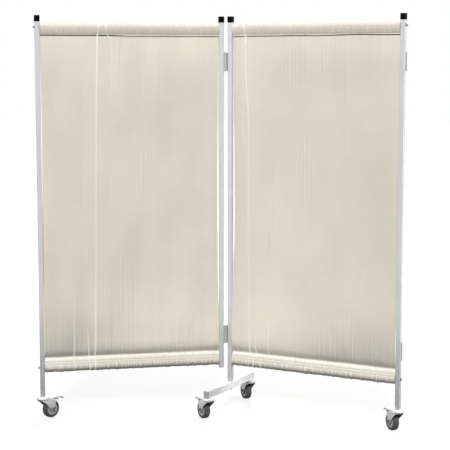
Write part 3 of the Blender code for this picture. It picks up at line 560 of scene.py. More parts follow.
curtain = {
    "start": 0.0259,  # from the hinge axis out to the curtain's inner edge
    "width": 0.7433,
    "draw": {  # how far each side draws in: metres, at which share of the height, over which share
        -1: ((0.0056, 0.50, 0.42), (0.0042, 0.70, 0.17)),
        1: ((0.0062, 0.52, 0.30), (0.0010, 0.50, 0.40)),
    },
    "cloth": 0.0008,
    "sheetDepth": 0.0202,
    "upperHem": (  # section in mm from the free edge round the rail to the sheet: depth, distance to the sheet's side
        (18.4, 34.8), (18.3, 33.0), (18.0, 31.0), (17.4, 29.4), (16.2, 27.6), (14.2, 24.0), (11.4, 18.4), (8.6, 12.0),
        (6.2, 5.6), (4.7, -0.5), (5.6, -7.0), (10.2, -12.6), (17.0, -14.4), (23.4, -12.2), (27.9, -6.6), (29.4, 0.0),
        (28.8, 10.6), (27.0, 19.6), (24.0, 25.6), (21.4, 29.2), (20.3, 32.2), (20.2, 35.4)),
    "lowerHem": (
        (17.8, 37.4), (16.4, 36.0), (13.9, 32.8), (11.2, 28.0), (9.0, 22.6), (7.4, 17.0), (6.3, 11.5), (5.4, 4.6),
        (4.9, -1.0), (5.3, -7.0), (7.4, -12.8), (11.0, -17.4), (16.2, -19.6), (22.0, -18.4), (26.4, -13.6),
        (28.4, -6.6), (28.6, 0.0), (27.4, 6.0), (23.8, 10.4), (18.6, 12.1), (13.2, 12.7), (10.2, 13.4), (9.1, 15.2),
        (9.6, 18.8), (11.2, 23.8), (13.3, 28.6), (15.9, 33.2), (19.2, 37.6), (20.2, 41.2)),
    "seams": (0.0302, 0.0120),  # where the pockets close, from the upper and the lower rail
    "headerEdge": {  # share of the width, how much of the header's height under its seam is left there
        -1: ((0.0, 0.92), (0.30, 0.88), (0.52, 0.90), (0.60, 0.42), (1.0, 0.38)),
        1: ((0.0, 0.93), (0.15, 0.76), (0.27, 0.86), (0.39, 0.62), (0.51, 0.90), (0.63, 0.68), (0.75, 0.42),
            (0.88, 0.66), (1.0, 0.78)),
    },
    "slack": (0.016, 0.038, 0.240),  # the sheet's bulge over the lower hem: depth, how fast it comes, its reach
    "hemRows": (56, 52),
    "columns": 306,
    "sheetRows": 50,
    "rowCrowding": 0.13,  # rows stand closer near the hems
    "topRows": (0.0015, 0.0040, 0.0060),  # the sheet's first two rows below the upper hem, and the others' start
    "columnCrowding": (0.9, 0.008, 0.8, 0.012),  # at the creases, at the sides: how much closer, over which share
    "frontRows": (22, 20),  # how many rows from each free edge lie on the front
    "behindFrom": 0.0125,  # distance from the rail past which a hem's other rows lie behind
    "foldDepth": 0.0051,
    "foldBlend": 4,  # columns to each side over which a fold is smoothed
    "sideHem": 0.007,
    "sideHemCloth": 0.0007,  # what it adds to the thickness behind
    "sideHemStep": 0.0012,
    "flare": (0.0016, 0.014),  # how far back the sheet's sides turn, and their reach
    "wobble": (0.0004, 17.0),  # of the sides: metres, radians from rail to rail
    "turnOver": 0.0365,  # height over the lower rail from which the sheet's inner side is in front
    "loosening": (0.10, 0.12),  # metres from the upper and the lower seam over which the cloth comes free
    "sheetStart": ((0.0, 0.02), (0.0255, 0.03)),  # from where, over what it counts as sheet
    "cutWidth": 0.775,
}
hemShade = {  # painted shade and light near the hems; levels, reaches and softness are in metres
    "relief": (380.0, 210.0),  # bend in 1/m at which a pucker's shade is strongest, in the sheet and in the hems
    "reliefSpan": (-1.2, 1.0),
    "tuck": 0.50,  # where the sheet tucks in over the lower hem
    "tuckLevel": 0.040,
    "tuckBand": (0.036, 0.005, 0.016),  # height at the left edge, what it loses to the right, softness
    "tuckWaves": ((0.002, 23.0), (0.001, 71.0)),
    "crook": (0.70, 0.010),  # the darkest line, right above the hem: amount, reach
    "edgeShadow": (0.0055, 0.0018, 2.3),  # below the upper header's edge: reach, softness, amount
    "edgeLip": 0.0012,
    "top": (0.65, 0.45, 0.004, 0.008),  # light on the upper hem: amount, more of it at a level, that level, reach
    "topEnd": (0.002, 0.006),  # where over the rail that light ends: level, softness
    "crown": (0.35, -0.006, 0.005),  # a shade over it: amount, level, softness
    "belly": (1.3, 0.010, 0.016),  # the lower hem's lower front: amount, level, softness
    "under": (0.0012, 0.003),  # the underside's line: how much it rises to the right, softness
    "pressed": (0.30, 0.35, 0.0135, 0.011),  # paler lower hem, a painted highlight: amount, more over a level, that level, softness
    "furrowed": (0.35, 0.03, 0.5, 1.0),  # fine puckers: in the sheet at its seams, their reach, upper hem, lower hem
    "farSide": (0.4, 0.8, 0.6),  # how much of a crease, of the relief and of the puckers the other side shows
    "sewn": 0.95,
    "span": (-2.35, 1.3),
    # By side: the tuck's strength at the left edge and what it loses to the right, how much the edge's shadow
    # widens to the right, and the underside's level below the rail and amount
    -1: ((1.5, 0.65), 0.0008, (0.0100, 1.6)),
    1: ((1.25, 0.7), 0.0, (0.0112, 0.8)),
}
gathers = {  # what each pucker is drawn from: spans in metres or shares of the width, sizes in metres
    "seam": {
        "each": ((90, 0.00060), (105, 0.00085)),  # upper and lower seam: how many, how high
        "spans": ((0.0, 1.0), (-0.05, 0.05), (0.0026, 0.0062), (0.02, 0.16)),  # place, slant, width, reach
        "longer": (0.6, 1.0, 2.2),
        "tall": (0.5, 1.6),
    },
    "group": {
        "apart": 0.0085,
        "spans": ((0.05, 0.16), (-0.012, 0.012), (0.0025, 0.0037), (0.00045, 0.00105)),  # reach, slant, width, height
    },
    "slow": {
        "count": 14,
        "size": 0.00028,
        "spans": ((1.0, 6.0), (-2.5, 2.5), (0.0, 2 * math.pi)),  # waves across, climb, phase
    },
    "slack": {
        "count": 26,
        "spans": ((0.0, 1.0), (0.012, 0.040), (-0.0016, 0.0022), (0.045, 0.075)),  # place, width, height, level
        "reach": 0.035,
    },
    "hem": {
        # Upper and lower: how many, how high, where they are low, cloth before and after the pocket's seams
        "each": ((240, 0.00042, 0.5, 0.0036, 0.008), (210, 0.00135, 0.78, 0.0268, 0.031)),
        "past": 0.01,
        "spans": ((-0.16, 0.16), (0.0020, 0.0046)),  # slant, width
        "calming": (0.5, 0.14),  # how much lower they are there, over which share
        "centres": (0.06, 0.12, 0.22, 0.34, 0.62, 0.88),
        "reach": (0.12, 0.34),
        "tall": (0.45, 1.6),
        "fold": 0.0012,
        "edgeWaves": ((9.3, 0.0005), (23.7, 0.0005), (51.0, 0.0004), (83.0, 0.0003)),
        "edgeSwell": 0.6,
    },
}
stitch = {
    "pitch": 0.0034,
    "length": 0.0025,
    "radius": 0.00030,
    "upperRows": (0.0287,),  # distances from the rail
    "lowerRows": (0.0228, 0.0118),
    "pull": 0.0008,  # how deep a row lies, and how far to its sides it pulls
    "pullReach": 0.0020,
    "flatten": 0.75,
    "sideInset": 0.0052,
}
folds = {  # broad folds: share of the width, share of the fold depth
    -1: (
        (0.0, 0.1), (0.08, -0.15), (0.17, 0.3), (0.27, -0.2), (0.36, 0.35), (0.45, -0.15), (0.54, 0.3), (0.62, -0.2),
        (0.7, 0.05), (0.78, -0.35), (0.85, 0.4), (0.93, -0.2), (1.0, 0.0)),
    1: (
        (0.0, 0.0), (0.045, -0.15), (0.09, 0.1), (0.18, -0.3), (0.27, 0.3), (0.36, -0.2), (0.46, 0.3), (0.55, -0.25),
        (0.63, -0.1), (0.7, 0.5), (0.79, -0.3), (0.9, 0.3), (1.0, 0.1)),
}
creaseRule = {
    "most": 1.5,  # strength past which a ridge grows no more
    "onHem": 0.45,  # how much of it a hem has
    "rubbed": (1.25, 0.45),  # how fast the painted highlight line comes across the ridge, and with its strength
}
creases = {  # sharp creases: (height, share of the width, strength) down the cloth; width, height of the ridge
    -1: (
        (((1.7, 0.678, 1.3), (1.632, 0.678, 1.3), (1.608, 0.684, 1.9), (1.55, 0.683, 1.6), (1.49, 0.686, 1.5),
          (1.36, 0.691, 1.0), (1.16, 0.696, 0.75), (0.96, 0.699, 0.7), (0.76, 0.701, 0.55), (0.62, 0.705, 0.6),
          (0.49, 0.71, 0.9), (0.35, 0.712, 1.4), (0.3, 0.714, 2.0), (0.27, 0.717, 1.8),
          (0.15, 0.718, 2.1)), 0.0032, 0.0014),
        (((1.7, 0.641, 1.2), (1.632, 0.639, 1.5), (1.608, 0.634, 1.4), (1.58, 0.611, 0.6), (1.55, 0.609, 0.5),
          (1.49, 0.585, 0.0)), 0.003, 0.0013),
        (((0.54, 0.83, 0.0), (0.49, 0.83, 0.5), (0.42, 0.833, 0.5), (0.29, 0.834, 0.9), (0.27, 0.836, 1.3),
          (0.15, 0.839, 1.0)), 0.0034, 0.0012),
        (((0.38, 0.754, 0.0), (0.34, 0.754, 0.6), (0.29, 0.753, 1.1), (0.27, 0.751, 1.9), (0.245, 0.75, 1.0),
          (0.22, 0.745, 2.0), (0.15, 0.745, 2.0)), 0.0032, 0.0013),
    ),
    1: (
        (((1.7, 0.08, 1.0), (1.61, 0.08, 1.6), (1.55, 0.078, 0.9), (1.45, 0.079, 1.1), (1.36, 0.084, 1.1),
          (1.29, 0.093, 0.95), (1.2, 0.096, 0.7), (1.03, 0.089, 0.45), (0.78, 0.09, 0.4), (0.55, 0.103, 0.5),
          (0.36, 0.11, 0.6), (0.29, 0.112, 2.1), (0.23, 0.108, 1.2), (0.15, 0.11, 2.0)), 0.0032, 0.0014),
        (((1.7, 0.073, 0.9), (1.62, 0.072, 0.9), (1.53, 0.065, 0.5), (1.25, 0.06, 0.35),
          (1.0, 0.058, 0.0)), 0.003, 0.0012),
        (((0.42, 0.147, 0.0), (0.33, 0.147, 0.5), (0.285, 0.147, 1.8), (0.26, 0.154, 0.9), (0.232, 0.142, 0.8),
          (0.206, 0.138, 1.9), (0.15, 0.138, 1.8)), 0.0032, 0.0013),
        (((0.26, 0.185, 0.0), (0.23, 0.185, 1.5), (0.21, 0.185, 2.3), (0.15, 0.185, 2.0)), 0.0032, 0.0013),
        (((0.42, 0.231, 0.0), (0.29, 0.231, 1.0), (0.2, 0.231, 0.6), (0.15, 0.231, 0.6)), 0.0032, 0.0012),
    ),
}
puckerGroups = {  # where fine upright puckers crowd: low and high share, from and to height
    -1: (
        (0.4, 0.49, 1.2, 0.75), (0.45, 0.66, 0.72, 0.28), (0.48, 0.64, 0.55, 0.3), (0.56, 0.64, 1.56, 1.42),
        (0.1, 0.3, 0.36, 0.26)),
    1: (
        (0.42, 0.53, 1.18, 0.88), (0.225, 0.25, 0.95, 0.62), (0.43, 0.64, 0.6, 0.28), (0.6, 0.76, 0.36, 0.27),
        (0.3, 0.6, 1.56, 1.44)),
}
paintedPatches = {  # painted light and shade, slow lighter and darker places in the sheet: share, height, reach across and up, amount
    -1: (
        (0.92, 0.36, 0.26, 0.16, -0.26), (0.9, 1.05, 0.26, 0.55, -0.16), (0.28, 1.26, 0.34, 0.17, -0.15),
        (0.12, 0.39, 0.34, 0.13, 0.7), (0.5, 1.6, 3.0, 0.1, 0.6), (0.38, 0.322, 0.25, 0.027, 0.85),
        (1.0, 0.33, 0.2, 0.12, -0.1), (0.78, 0.34, 0.16, 0.08, -0.28)),
    1: (
        (0.95, 0.95, 0.28, 0.65, -0.17), (0.75, 1.46, 0.45, 0.09, -0.2), (0.3, 1.15, 0.4, 0.25, -0.12),
        (0.2, 0.42, 0.3, 0.17, 0.55), (0.9, 0.34, 0.25, 0.1, -0.2), (0.7, 0.29, 0.5, 0.06, -0.15),
        (0.85, 0.33, 0.35, 0.1, -0.18), (0.1, 0.325, 0.25, 0.03, 0.5), (0.4, 1.6, 3.0, 0.08, 0.25)),
}


def unit(value):
    return np.clip(value, 0.0, 1.0)


def bump01(value):
    # Smooth 0 to 1
    value = unit(value)
    return value * value * (3.0 - 2.0 * value)


def ridge(across, middle, width):
    return np.exp(-((across - middle) / width) ** 2)


def smoothLine(stops, count):
    # Catmull-Rom curve through the stops, cut into rows of equal length
    stops = np.array(stops) / 1000
    ends = np.concatenate((2 * stops[:1] - stops[1:2], stops, 2 * stops[-1:] - stops[-2:-1]))
    steps = np.linspace(0.0, 1.0, 12, endpoint=False)[:, None]
    curve = []
    for before, first, second, after in zip(ends, ends[1:], ends[2:], ends[3:]):
        turn = (second - before) / 2
        turnOn = (after - first) / 2
        curve.append(first + turn * steps + (3 * (second - first) - 2 * turn - turnOn) * steps ** 2
                     + (2 * (first - second) + turn + turnOn) * steps ** 3)
    curve = np.concatenate(curve + [stops[-1:]])
    run = np.concatenate(([0.0], np.cumsum(np.linalg.norm(np.diff(curve, axis=0), axis=1))))
    places = np.linspace(0.0, run[-1], count)
    return np.stack([np.interp(places, run, curve[:, axis]) for axis in range(2)], axis=1)


def curtainPath(upperRail, lowerRail):
    # Depth and height of each row from the upper free edge, down the sheet, to the lower free edge,
    # and the part that it is in: 0 upper hem, 1 sheet, 2 lower hem
    upper = smoothLine(curtain["upperHem"], curtain["hemRows"][0])
    lower = smoothLine(curtain["lowerHem"], curtain["hemRows"][1])[::-1]
    high = upperRail - upper[-1, 1]
    low = lowerRail + lower[0, 1]
    shares = np.linspace(0.0, 1.0, curtain["sheetRows"])[1:-1]
    shares = shares - curtain["rowCrowding"] * np.sin(2 * math.pi * shares)
    heights = high + (low - high) * shares
    first, second, others = [high - gap for gap in curtain["topRows"]]
    heights = np.concatenate(([first, second], heights[heights < others]))
    deep, quick, reach = curtain["slack"]
    slack = deep * (1.0 - np.exp((low - heights) / quick)) * ridge(heights, low, reach)
    sheet = np.stack((curtain["sheetDepth"] - slack, heights), axis=1)
    upper[:, 1] = upperRail - upper[:, 1]
    lower[:, 1] = lowerRail + lower[:, 1]
    return np.concatenate((upper, sheet, lower)), np.repeat((0, 1, 2), (len(upper), len(sheet), len(lower)))


def columnShares(side):
    # Columns crowd where the sharp creases run, and at the sides
    fine = np.linspace(0.0, 1.0, 4001)
    density = np.ones_like(fine)
    near, nearReach, atSide, sideReach = curtain["columnCrowding"]
    for line, _, _ in creases[side]:
        places = [point[1] for point in line]
        outside = np.maximum(np.maximum(min(places) - fine, fine - max(places)), 0.0)
        density += near * ridge(outside, 0.0, nearReach)
    density += atSide * ridge(fine, 0.0, sideReach) + atSide * ridge(1.0 - fine, 0.0, sideReach)
    total = np.concatenate(([0.0], np.cumsum((density[1:] + density[:-1]) / 2)))
    return np.interp(np.linspace(0.0, total[-1], curtain["columns"]), total, fine)


def reliefOf(lift, across, inSheet):
    # -1 deep between puckers, 1 on top of them, as the side that they lift towards shows them
    step = np.gradient(across, axis=1)
    bend = np.gradient(np.gradient(lift, axis=1) / step, axis=1) / step
    return -bend / np.where(inSheet > 0.5, *hemShade["relief"])


def makeCurtain(side, name):
    dice = random.Random(screen["seed"] + side)
    rails = (name + "_upper_rail", name + "_lower_rail")
    upperRail, lowerRail = [sum(corner[2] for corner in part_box(rail)) / 2 for rail in rails]
    path, part = curtainPath(upperRail, lowerRail)
    isUpper, isSheet, isLower = [(part == which)[:, None] for which in range(3)]
    shares = columnShares(side)
    wide = curtain["width"]
    share, height = np.meshgrid(shares, path[:, 1])
    across = share * wide
    run = np.concatenate(([0.0], np.cumsum(np.hypot(*np.diff(path, axis=0).T))))
    rise = unit((height - lowerRail) / (upperRail - lowerRail))
    swing = np.sin(math.pi * rise)  # 0 at the rails, 1 half way

    # Outwards from the path, for each row
    ahead = np.gradient(path, axis=0)
    ahead /= np.linalg.norm(ahead, axis=1)[:, None]
    outward = np.stack((-ahead[:, 1], ahead[:, 0]), axis=1)

    def draw(spans):
        return [dice.uniform(*span) for span in spans]

    # The sheet hangs free, and the layers in a hem move with it less and less towards the seam
    below = upperRail - curtain["seams"][0] - height
    above = height - lowerRail - curtain["seams"][1]
    isHigh = rise > 0.5
    loose = unit(np.where(isHigh, below, above) / np.where(isHigh, *curtain["loosening"])) ** 0.8
    (upperFrom, upperOver), (lowerFrom, lowerOver) = curtain["sheetStart"]
    inSheet = unit(np.where(isHigh, (below - upperFrom) / upperOver, (above - lowerFrom) / lowerOver))
    below = np.maximum(below, 0.0)
    above = np.maximum(above, 0.0)

    kernel = np.hanning(2 * curtain["foldBlend"] + 1)
    fold = np.pad(np.interp(shares, *np.array(folds[side]).T), curtain["foldBlend"], mode="edge")
    smooth = np.convolve(fold, kernel / kernel.sum(), mode="valid")
    forward = smooth * curtain["foldDepth"] * loose
    swell = np.zeros_like(forward)

    # Fine puckers that start at the seams and die away in the sheet
    rule = gathers["seam"]
    for seam, (count, size) in zip((below, above), rule["each"]):
        for _ in range(count):
            spot, lean, width, reach = draw(rule["spans"])
            reach *= dice.choice(rule["longer"])
            tall = size * dice.uniform(*rule["tall"])
            forward += tall * ridge(across, spot * wide + lean * seam, width) * np.exp(-seam / reach) * inSheet
    rule = gathers["group"]
    for low, high, top, foot in puckerGroups[side]:
        for _ in range(int((high - low) * wide / rule["apart"])):
            spot, centre, reach, lean, width, tall = draw(((low, high), (foot, top)) + rule["spans"])
            line = spot * wide + lean * (height - centre)
            forward += tall * ridge(across, line, width) * ridge(height, centre, reach) * inSheet

    # Slow unevenness of hanging cloth
    rule = gathers["slow"]
    for _ in range(rule["count"]):
        waves, climb, phase = draw(rule["spans"])
        forward += rule["size"] * np.sin(2 * math.pi * (waves * share + climb * rise) + phase) * loose

    # The slack over the lower hem is deeper in some places than in others
    rule = gathers["slack"]
    for _ in range(rule["count"]):
        spot, width, tall, centre = draw(rule["spans"])
        forward += tall * ridge(across, spot * wide, width) * ridge(above, centre, rule["reach"]) * loose ** 0.3

    # Gathers on the pockets, from seam to seam round the rail
    rule = gathers["hem"]
    calming, calmReach = rule["calming"]
    for rows, (count, size, calm, start, end) in zip((isUpper, isLower), rule["each"]):
        first, last = np.flatnonzero(rows)[[0, -1]]
        along = (run if rows is isUpper else run[-1] - run)[:, None]
        place = unit((along - start) / (run[last] - run[first] - end - start))
        body = np.sin(math.pi * place) ** 0.5 * (1.0 - calming * ridge(place, calm, calmReach))
        for _ in range(count):
            spot, lean, width = draw(((-rule["past"], wide + rule["past"]),) + rule["spans"])
            centre = dice.choice(rule["centres"])
            reach = dice.uniform(*rule["reach"])
            tall = size * dice.uniform(*rule["tall"])
            lift = tall * ridge(across, spot + lean * (along - start), width) * ridge(place, centre, reach) * body
            swell += np.where(rows, lift, 0.0)
        swell += np.where(rows, smooth * rule["fold"] * body, 0.0)
        # Between the free edge and the seam the puckers are small, and the edge waves a little
        header = unit(1.0 - along / start) * rows
        for waves, tall in rule["edgeWaves"]:
            phase = dice.uniform(0.0, 2 * math.pi)
            swell += header * tall * (1.0 + np.sin(2 * math.pi * waves * share + phase)) * rule["edgeSwell"]

    # Sharp creases: a low ridge, and a painted highlight line on top of it
    crease = np.zeros_like(forward)
    sharpLift = np.zeros_like(forward)
    onHem = creaseRule["onHem"]
    quick, growth = creaseRule["rubbed"]
    for line, width, tall in creases[side]:
        heights, places, strengths = np.array(line[::-1]).T
        strength = np.interp(height, heights, strengths)
        sharp = ridge(across, np.interp(height, heights, places) * wide, width)
        lift = sharp * tall * np.minimum(strength, creaseRule["most"])
        sharpLift += lift * (onHem + (1.0 - onHem) * inSheet)
        forward += lift * inSheet
        swell += lift * onHem * (1.0 - inSheet)
        crease = np.maximum(crease, np.minimum(sharp * quick, 1.0) * np.minimum(growth * strength, 1.0))

    # Sewn rows pull the layers together
    middle = np.where(isUpper, upperRail, lowerRail)
    front = np.zeros_like(isUpper)
    front[:curtain["frontRows"][0]] = True
    front[-curtain["frontRows"][1]:] = True
    towardsSheet = np.where(isUpper, middle - path[:, 1:], path[:, 1:] - middle)
    behind = ~isSheet & ~front & (towardsSheet > curtain["behindFrom"])
    sewn = np.zeros_like(forward)
    for hem, seams in ((isUpper, stitch["upperRows"]), (isLower, stitch["lowerRows"])):
        for seam in seams:
            near = ridge(np.abs(height - middle), seam, stitch["pullReach"]) * ((front | behind) & hem)
            swell = swell * (1.0 - stitch["flatten"] * near) - near * stitch["pull"]
            sewn = np.maximum(sewn, near)

    relief = np.clip(reliefOf(forward + swell - sharpLift, across, inSheet), *hemShade["reliefSpan"])
    tint = np.zeros_like(forward)
    # Painted light and shade in slow patches
    for spot, centre, aside, upright, amount in paintedPatches[side]:
        tint += amount * np.exp(-((share - spot) / aside) ** 2 - ((height - centre) / upright) ** 2) * isSheet

    # Painted shade where the sheet tucks in over the lower hem, along an uneven line
    (tuckLeft, tuckLoss), shadowGrowth, (underLevel, underShade) = hemShade[side]
    level, loss, soft = hemShade["tuckBand"]
    band = level - loss * share
    for tall, waves in hemShade["tuckWaves"]:
        band += tall * np.sin(waves * share)
    over = height - lowerRail - hemShade["tuckLevel"]
    tuck = hemShade["tuck"] * (tuckLeft - tuckLoss * share)
    crook, crookReach = hemShade["crook"]
    tint -= (tuck * bump01((band - over) / soft) + crook * np.exp(-np.maximum(over, 0.0) / crookReach)) * isSheet

    # The free edge of the upper header, and the shadow painted on the sheet below it
    seam = stitch["upperRows"][0]
    left = np.interp(share, *np.array(curtain["headerEdge"][side]).T)
    drop = upperRail - height
    hemFront = front & isUpper
    height = np.where(hemFront & (drop > seam), upperRail - seam - (drop - seam) * left, height)
    edge = seam + (curtain["upperHem"][0][1] / 1000 - seam) * left
    drop = upperRail - height
    pastEdge = drop > edge - hemShade["edgeLip"]
    reach, soft, shadowShade = hemShade["edgeShadow"]
    shadow = unit((edge + reach + shadowGrowth * share - drop) / soft) * pastEdge * ~front

    # Painted light from above on the upper hem, and painted shade on the lower one's undersides
    base, more, level, reach = hemShade["top"]
    lit = base + more * ridge(drop, level, reach)
    (end, endSoft), (crown, level, soft) = hemShade["topEnd"], hemShade["crown"]
    tint += hemFront * (lit * unit((drop + end) / endSoft) - crown * unit((level - drop) / soft))
    slope, soft = hemShade["under"]
    tint -= underShade * unit((lowerRail - underLevel + slope * share - height) / soft) * isLower
    belly, level, soft = hemShade["belly"]
    tint -= belly * unit((lowerRail + level - height) / soft) * front * isLower
    # Painted shade in the sewn rows' grooves
    tint -= hemShade["sewn"] * sewn
    base, more, level, soft = hemShade["pressed"]
    crease = np.maximum(crease, front * isLower * (base + more * unit((above - level) / soft)))
    inSeams, fade, onUpper, onLower = hemShade["furrowed"]
    onHems = np.where(isUpper, onUpper, onLower)
    hem = np.where(isSheet, inSeams * np.exp(-np.minimum(below, above) / fade), onHems)

    # The path turns the sheet's outer side to the back, so there the inner side is the one that the front shows
    beyond = ~front & (pastEdge & isHigh | (height - lowerRail > curtain["turnOver"]) & ~isHigh)
    ofCrease, ofRelief, ofHem = hemShade["farSide"]
    best = {
        "crease": (crease, crease * ofCrease),
        "relief": (tint + relief, tint - ofRelief * relief),
        "hem": (hem, hem * ofHem),
    }
    marks = {}
    for label, (more, less) in best.items():
        marks[label] = np.where(beyond, less, more), np.where(beyond, more, less)
    outer, inner = marks["relief"]
    marks["relief"] = np.clip(outer, *hemShade["span"]), np.clip(inner - shadowShade * shadow, *hemShade["span"])

    edgeNear = np.minimum(across, wide - across)
    back, reach = curtain["flare"]
    flare = back * ridge(edgeNear, 0.0, reach) * swing * isSheet
    depth = path[:, :1] - forward + outward[:, :1] * swell + flare
    near, far = [deep * ridge(rise, centre, reach) * swing ** 0.5 for deep, centre, reach in curtain["draw"][side]]
    tall, waves = curtain["wobble"]
    wobble = tall * np.sin(waves * rise + side) * swing
    drawn = curtain["start"] + across + (near + wobble) * (1.0 - share) ** 4 - (far + wobble) * share ** 4

    mid = np.stack((drawn, depth, height + outward[:, 1:] * swell), axis=2)
    normal = np.cross(np.gradient(mid, axis=1), np.gradient(mid, axis=0))
    normal /= np.linalg.norm(normal, axis=2)[:, :, None]
    thick = curtain["cloth"] / 2
    hemSide = bump01((curtain["sideHem"] - edgeNear) / curtain["sideHemStep"]) * isSheet
    surfaces = (mid + normal * thick, mid - normal * (thick + curtain["sideHemCloth"] * hemSide)[:, :, None])
    rows = {"part": part, "front": front[:, 0], "behind": behind[:, 0], "away": np.abs(path[:, 1:] - middle)[:, 0]}
    return mid, normal, surfaces, marks, run, shares, rows


def buildCurtain(side, name):
    mid, normal, surfaces, marks, run, shares, rowKinds = makeCurtain(side, name)
    rows, columns = mid.shape[:2]
    place = sectionPlace(side)

    def world(points):
        return points @ np.array(place.to_3x3()).T + np.array(place.translation)

    grid = np.arange(rows * columns).reshape(rows, columns)
    first = np.stack((grid[:-1, :-1], grid[:-1, 1:], grid[1:, 1:], grid[1:, :-1]), axis=2).reshape(-1, 4)
    rim = np.concatenate((grid[0, :], grid[1:, -1], grid[-1, -2::-1], grid[-2:0:-1, 0]))
    after = np.roll(rim, -1)
    other = rows * columns
    edge = np.stack((after, rim, rim + other, after + other), axis=1)
    faces = np.concatenate((first, first[:, ::-1] + other, edge))
    if side < 0:
        faces = faces[:, ::-1]
    points = np.concatenate([world(surface.reshape(-1, 3)) for surface in surfaces])
    mesh = newMesh(name + "_cloth", points.tolist(), faces.tolist())
    spots = np.stack(np.meshgrid(shares * curtain["cutWidth"], run), axis=2).reshape(-1, 2)
    mesh.uv_layers.new(name="cut").data.foreach_set("uv", np.tile(spots, (2, 1))[faces.ravel()].ravel())
    for label, values in marks.items():
        layer = mesh.attributes.new(label, "FLOAT", "POINT")
        layer.data.foreach_set("value", np.stack(values).ravel().astype(np.float32))
    piece = wrapMesh(name + "_curtain_cloth", mesh, 60.0)
    fit(piece, name + "_section", "cream_cloth", creamCloth, name + "_curtain")
    seams = sewingLines(name, mid, normal, world, rowKinds)


def sewingLines(name, mid, normal, world, rowKinds):
    # Polylines that the stitches follow: along the hems, in front and behind, and down both side hems
    lines = []
    lift = curtain["cloth"] / 2 + stitch["radius"] * 0.4
    raised = mid + normal * lift
    for which, seams in ((0, stitch["upperRows"]), (2, stitch["lowerRows"])):
        for kind in ("front", "behind"):
            rows = np.flatnonzero(rowKinds[kind] & (rowKinds["part"] == which))
            rows = rows[np.argsort(rowKinds["away"][rows])]
            away = rowKinds["away"][rows]
            for seam in seams:
                upto = int(np.clip(np.searchsorted(away, seam), 1, len(rows) - 1))
                low, high = rows[upto - 1], rows[upto]
                part = (seam - away[upto - 1]) / (away[upto] - away[upto - 1])
                lines.append((raised[low] * (1.0 - part) + raised[high] * part)[2:-2])
    sheet = np.flatnonzero(rowKinds["part"] == 1)
    along = mid[sheet, :, 0]
    for target in (along[:, 0] + stitch["sideInset"], along[:, -1] - stitch["sideInset"]):
        for off in (lift, -lift - curtain["sideHemCloth"]):
            surface = (mid + normal * off)[sheet]
            lines.append(np.array([[np.interp(where, row, axis) for axis in points.T]
                                   for where, row, points in zip(target, along, surface)]))
    points = []
    edges = []
    for line in lines:
        start = len(points)
        points += world(line).tolist()
        edges += [(index, index + 1) for index in range(start, len(points) - 1)]
    holder = addObject(name + "_seam_lines", newMesh(name + "_seam_lines", points, [], edges))
    values = {label: stitch[label.lower()] for label in ("Pitch", "Length", "Radius")}
    values.update(Seed=screen["seed"], Thread=sewingThread)
    piece = applyTree(holder, stitchTree, values, name + "_stitches")
    return fit(piece, name + "_section", "cream_cloth", sewingThread)


def applyTree(holder, tree, values, name):
    # Run a geometry tree on an object, keep the result as a plain mesh, and drop the object and its modifier
    modifier = holder.modifiers.new(tree.name, "NODES")
    modifier.node_group = tree
    for item in tree.interface.items_tree:
        if item.in_out == "INPUT" and item.name in values:
            modifier[item.identifier] = values[item.name]
    bpy.context.view_layer.update()
    ready = holder.evaluated_get(bpy.context.evaluated_depsgraph_get())
    mesh = bpy.data.meshes.new_from_object(ready)
    holder.modifiers.remove(modifier)
    bpy.data.objects.remove(holder)
    mesh.name = name
    return wrapMesh(name, mesh, 80.0)


def makeStitchTree():
    # Short rounded stitches laid end to end along the lines
    tree = bpy.data.node_groups.new("stitchRow", "GeometryNodeTree")
    tree.is_modifier = True
    kinds = {"Geometry": "Geometry", "Pitch": "Float", "Length": "Float", "Radius": "Float", "Seed": "Int",
             "Thread": "Material"}
    for label, kind in kinds.items():
        tree.interface.new_socket(label, in_out="INPUT", socket_type="NodeSocket" + kind)
    tree.interface.new_socket("Geometry", in_out="OUTPUT", socket_type="NodeSocketGeometry")

    def step(kind, values=None, **settings):
        return addNode(tree, kind, values, **settings).outputs[0]

    given = addNode(tree, "NodeGroupInput").outputs
    curve = step("GeometryNodeMeshToCurve", {"Mesh": given["Geometry"]})
    even = step("GeometryNodeResampleCurve", {"Curve": curve, "Length": given["Pitch"]}, mode="LENGTH")
    turned = step("FunctionNodeAlignRotationToVector", {"Vector": step("GeometryNodeInputTangent")}, axis="X")
    bead = step("GeometryNodeMeshUVSphere", {"Segments": 6, "Rings": 5, "Radius": 1.0})
    values = {"Min": 0.82, "Max": 1.12, "Seed": given["Seed"]}
    draw = addNode(tree, "FunctionNodeRandomValue", values, data_type="FLOAT")
    uneven = next(socket for socket in draw.outputs if socket.enabled and socket.type == "VALUE")
    long = times(tree, times(tree, given["Length"], 0.5), uneven)
    size = joinAxes(tree, long, given["Radius"], given["Radius"])
    rows = step("GeometryNodeInstanceOnPoints", {"Points": even, "Instance": bead, "Rotation": turned, "Scale": size})
    smooth = step("GeometryNodeSetShadeSmooth", {"Geometry": step("GeometryNodeRealizeInstances", {"Geometry": rows})})
    dressed = step("GeometryNodeSetMaterial", {"Geometry": smooth, "Material": given["Thread"]})
    addNode(tree, "NodeGroupOutput", {"Geometry": dressed})
    return tree


stitchTree = makeStitchTree()
for side, name in sections:
    buildCurtain(side, name)
print("curtains made")


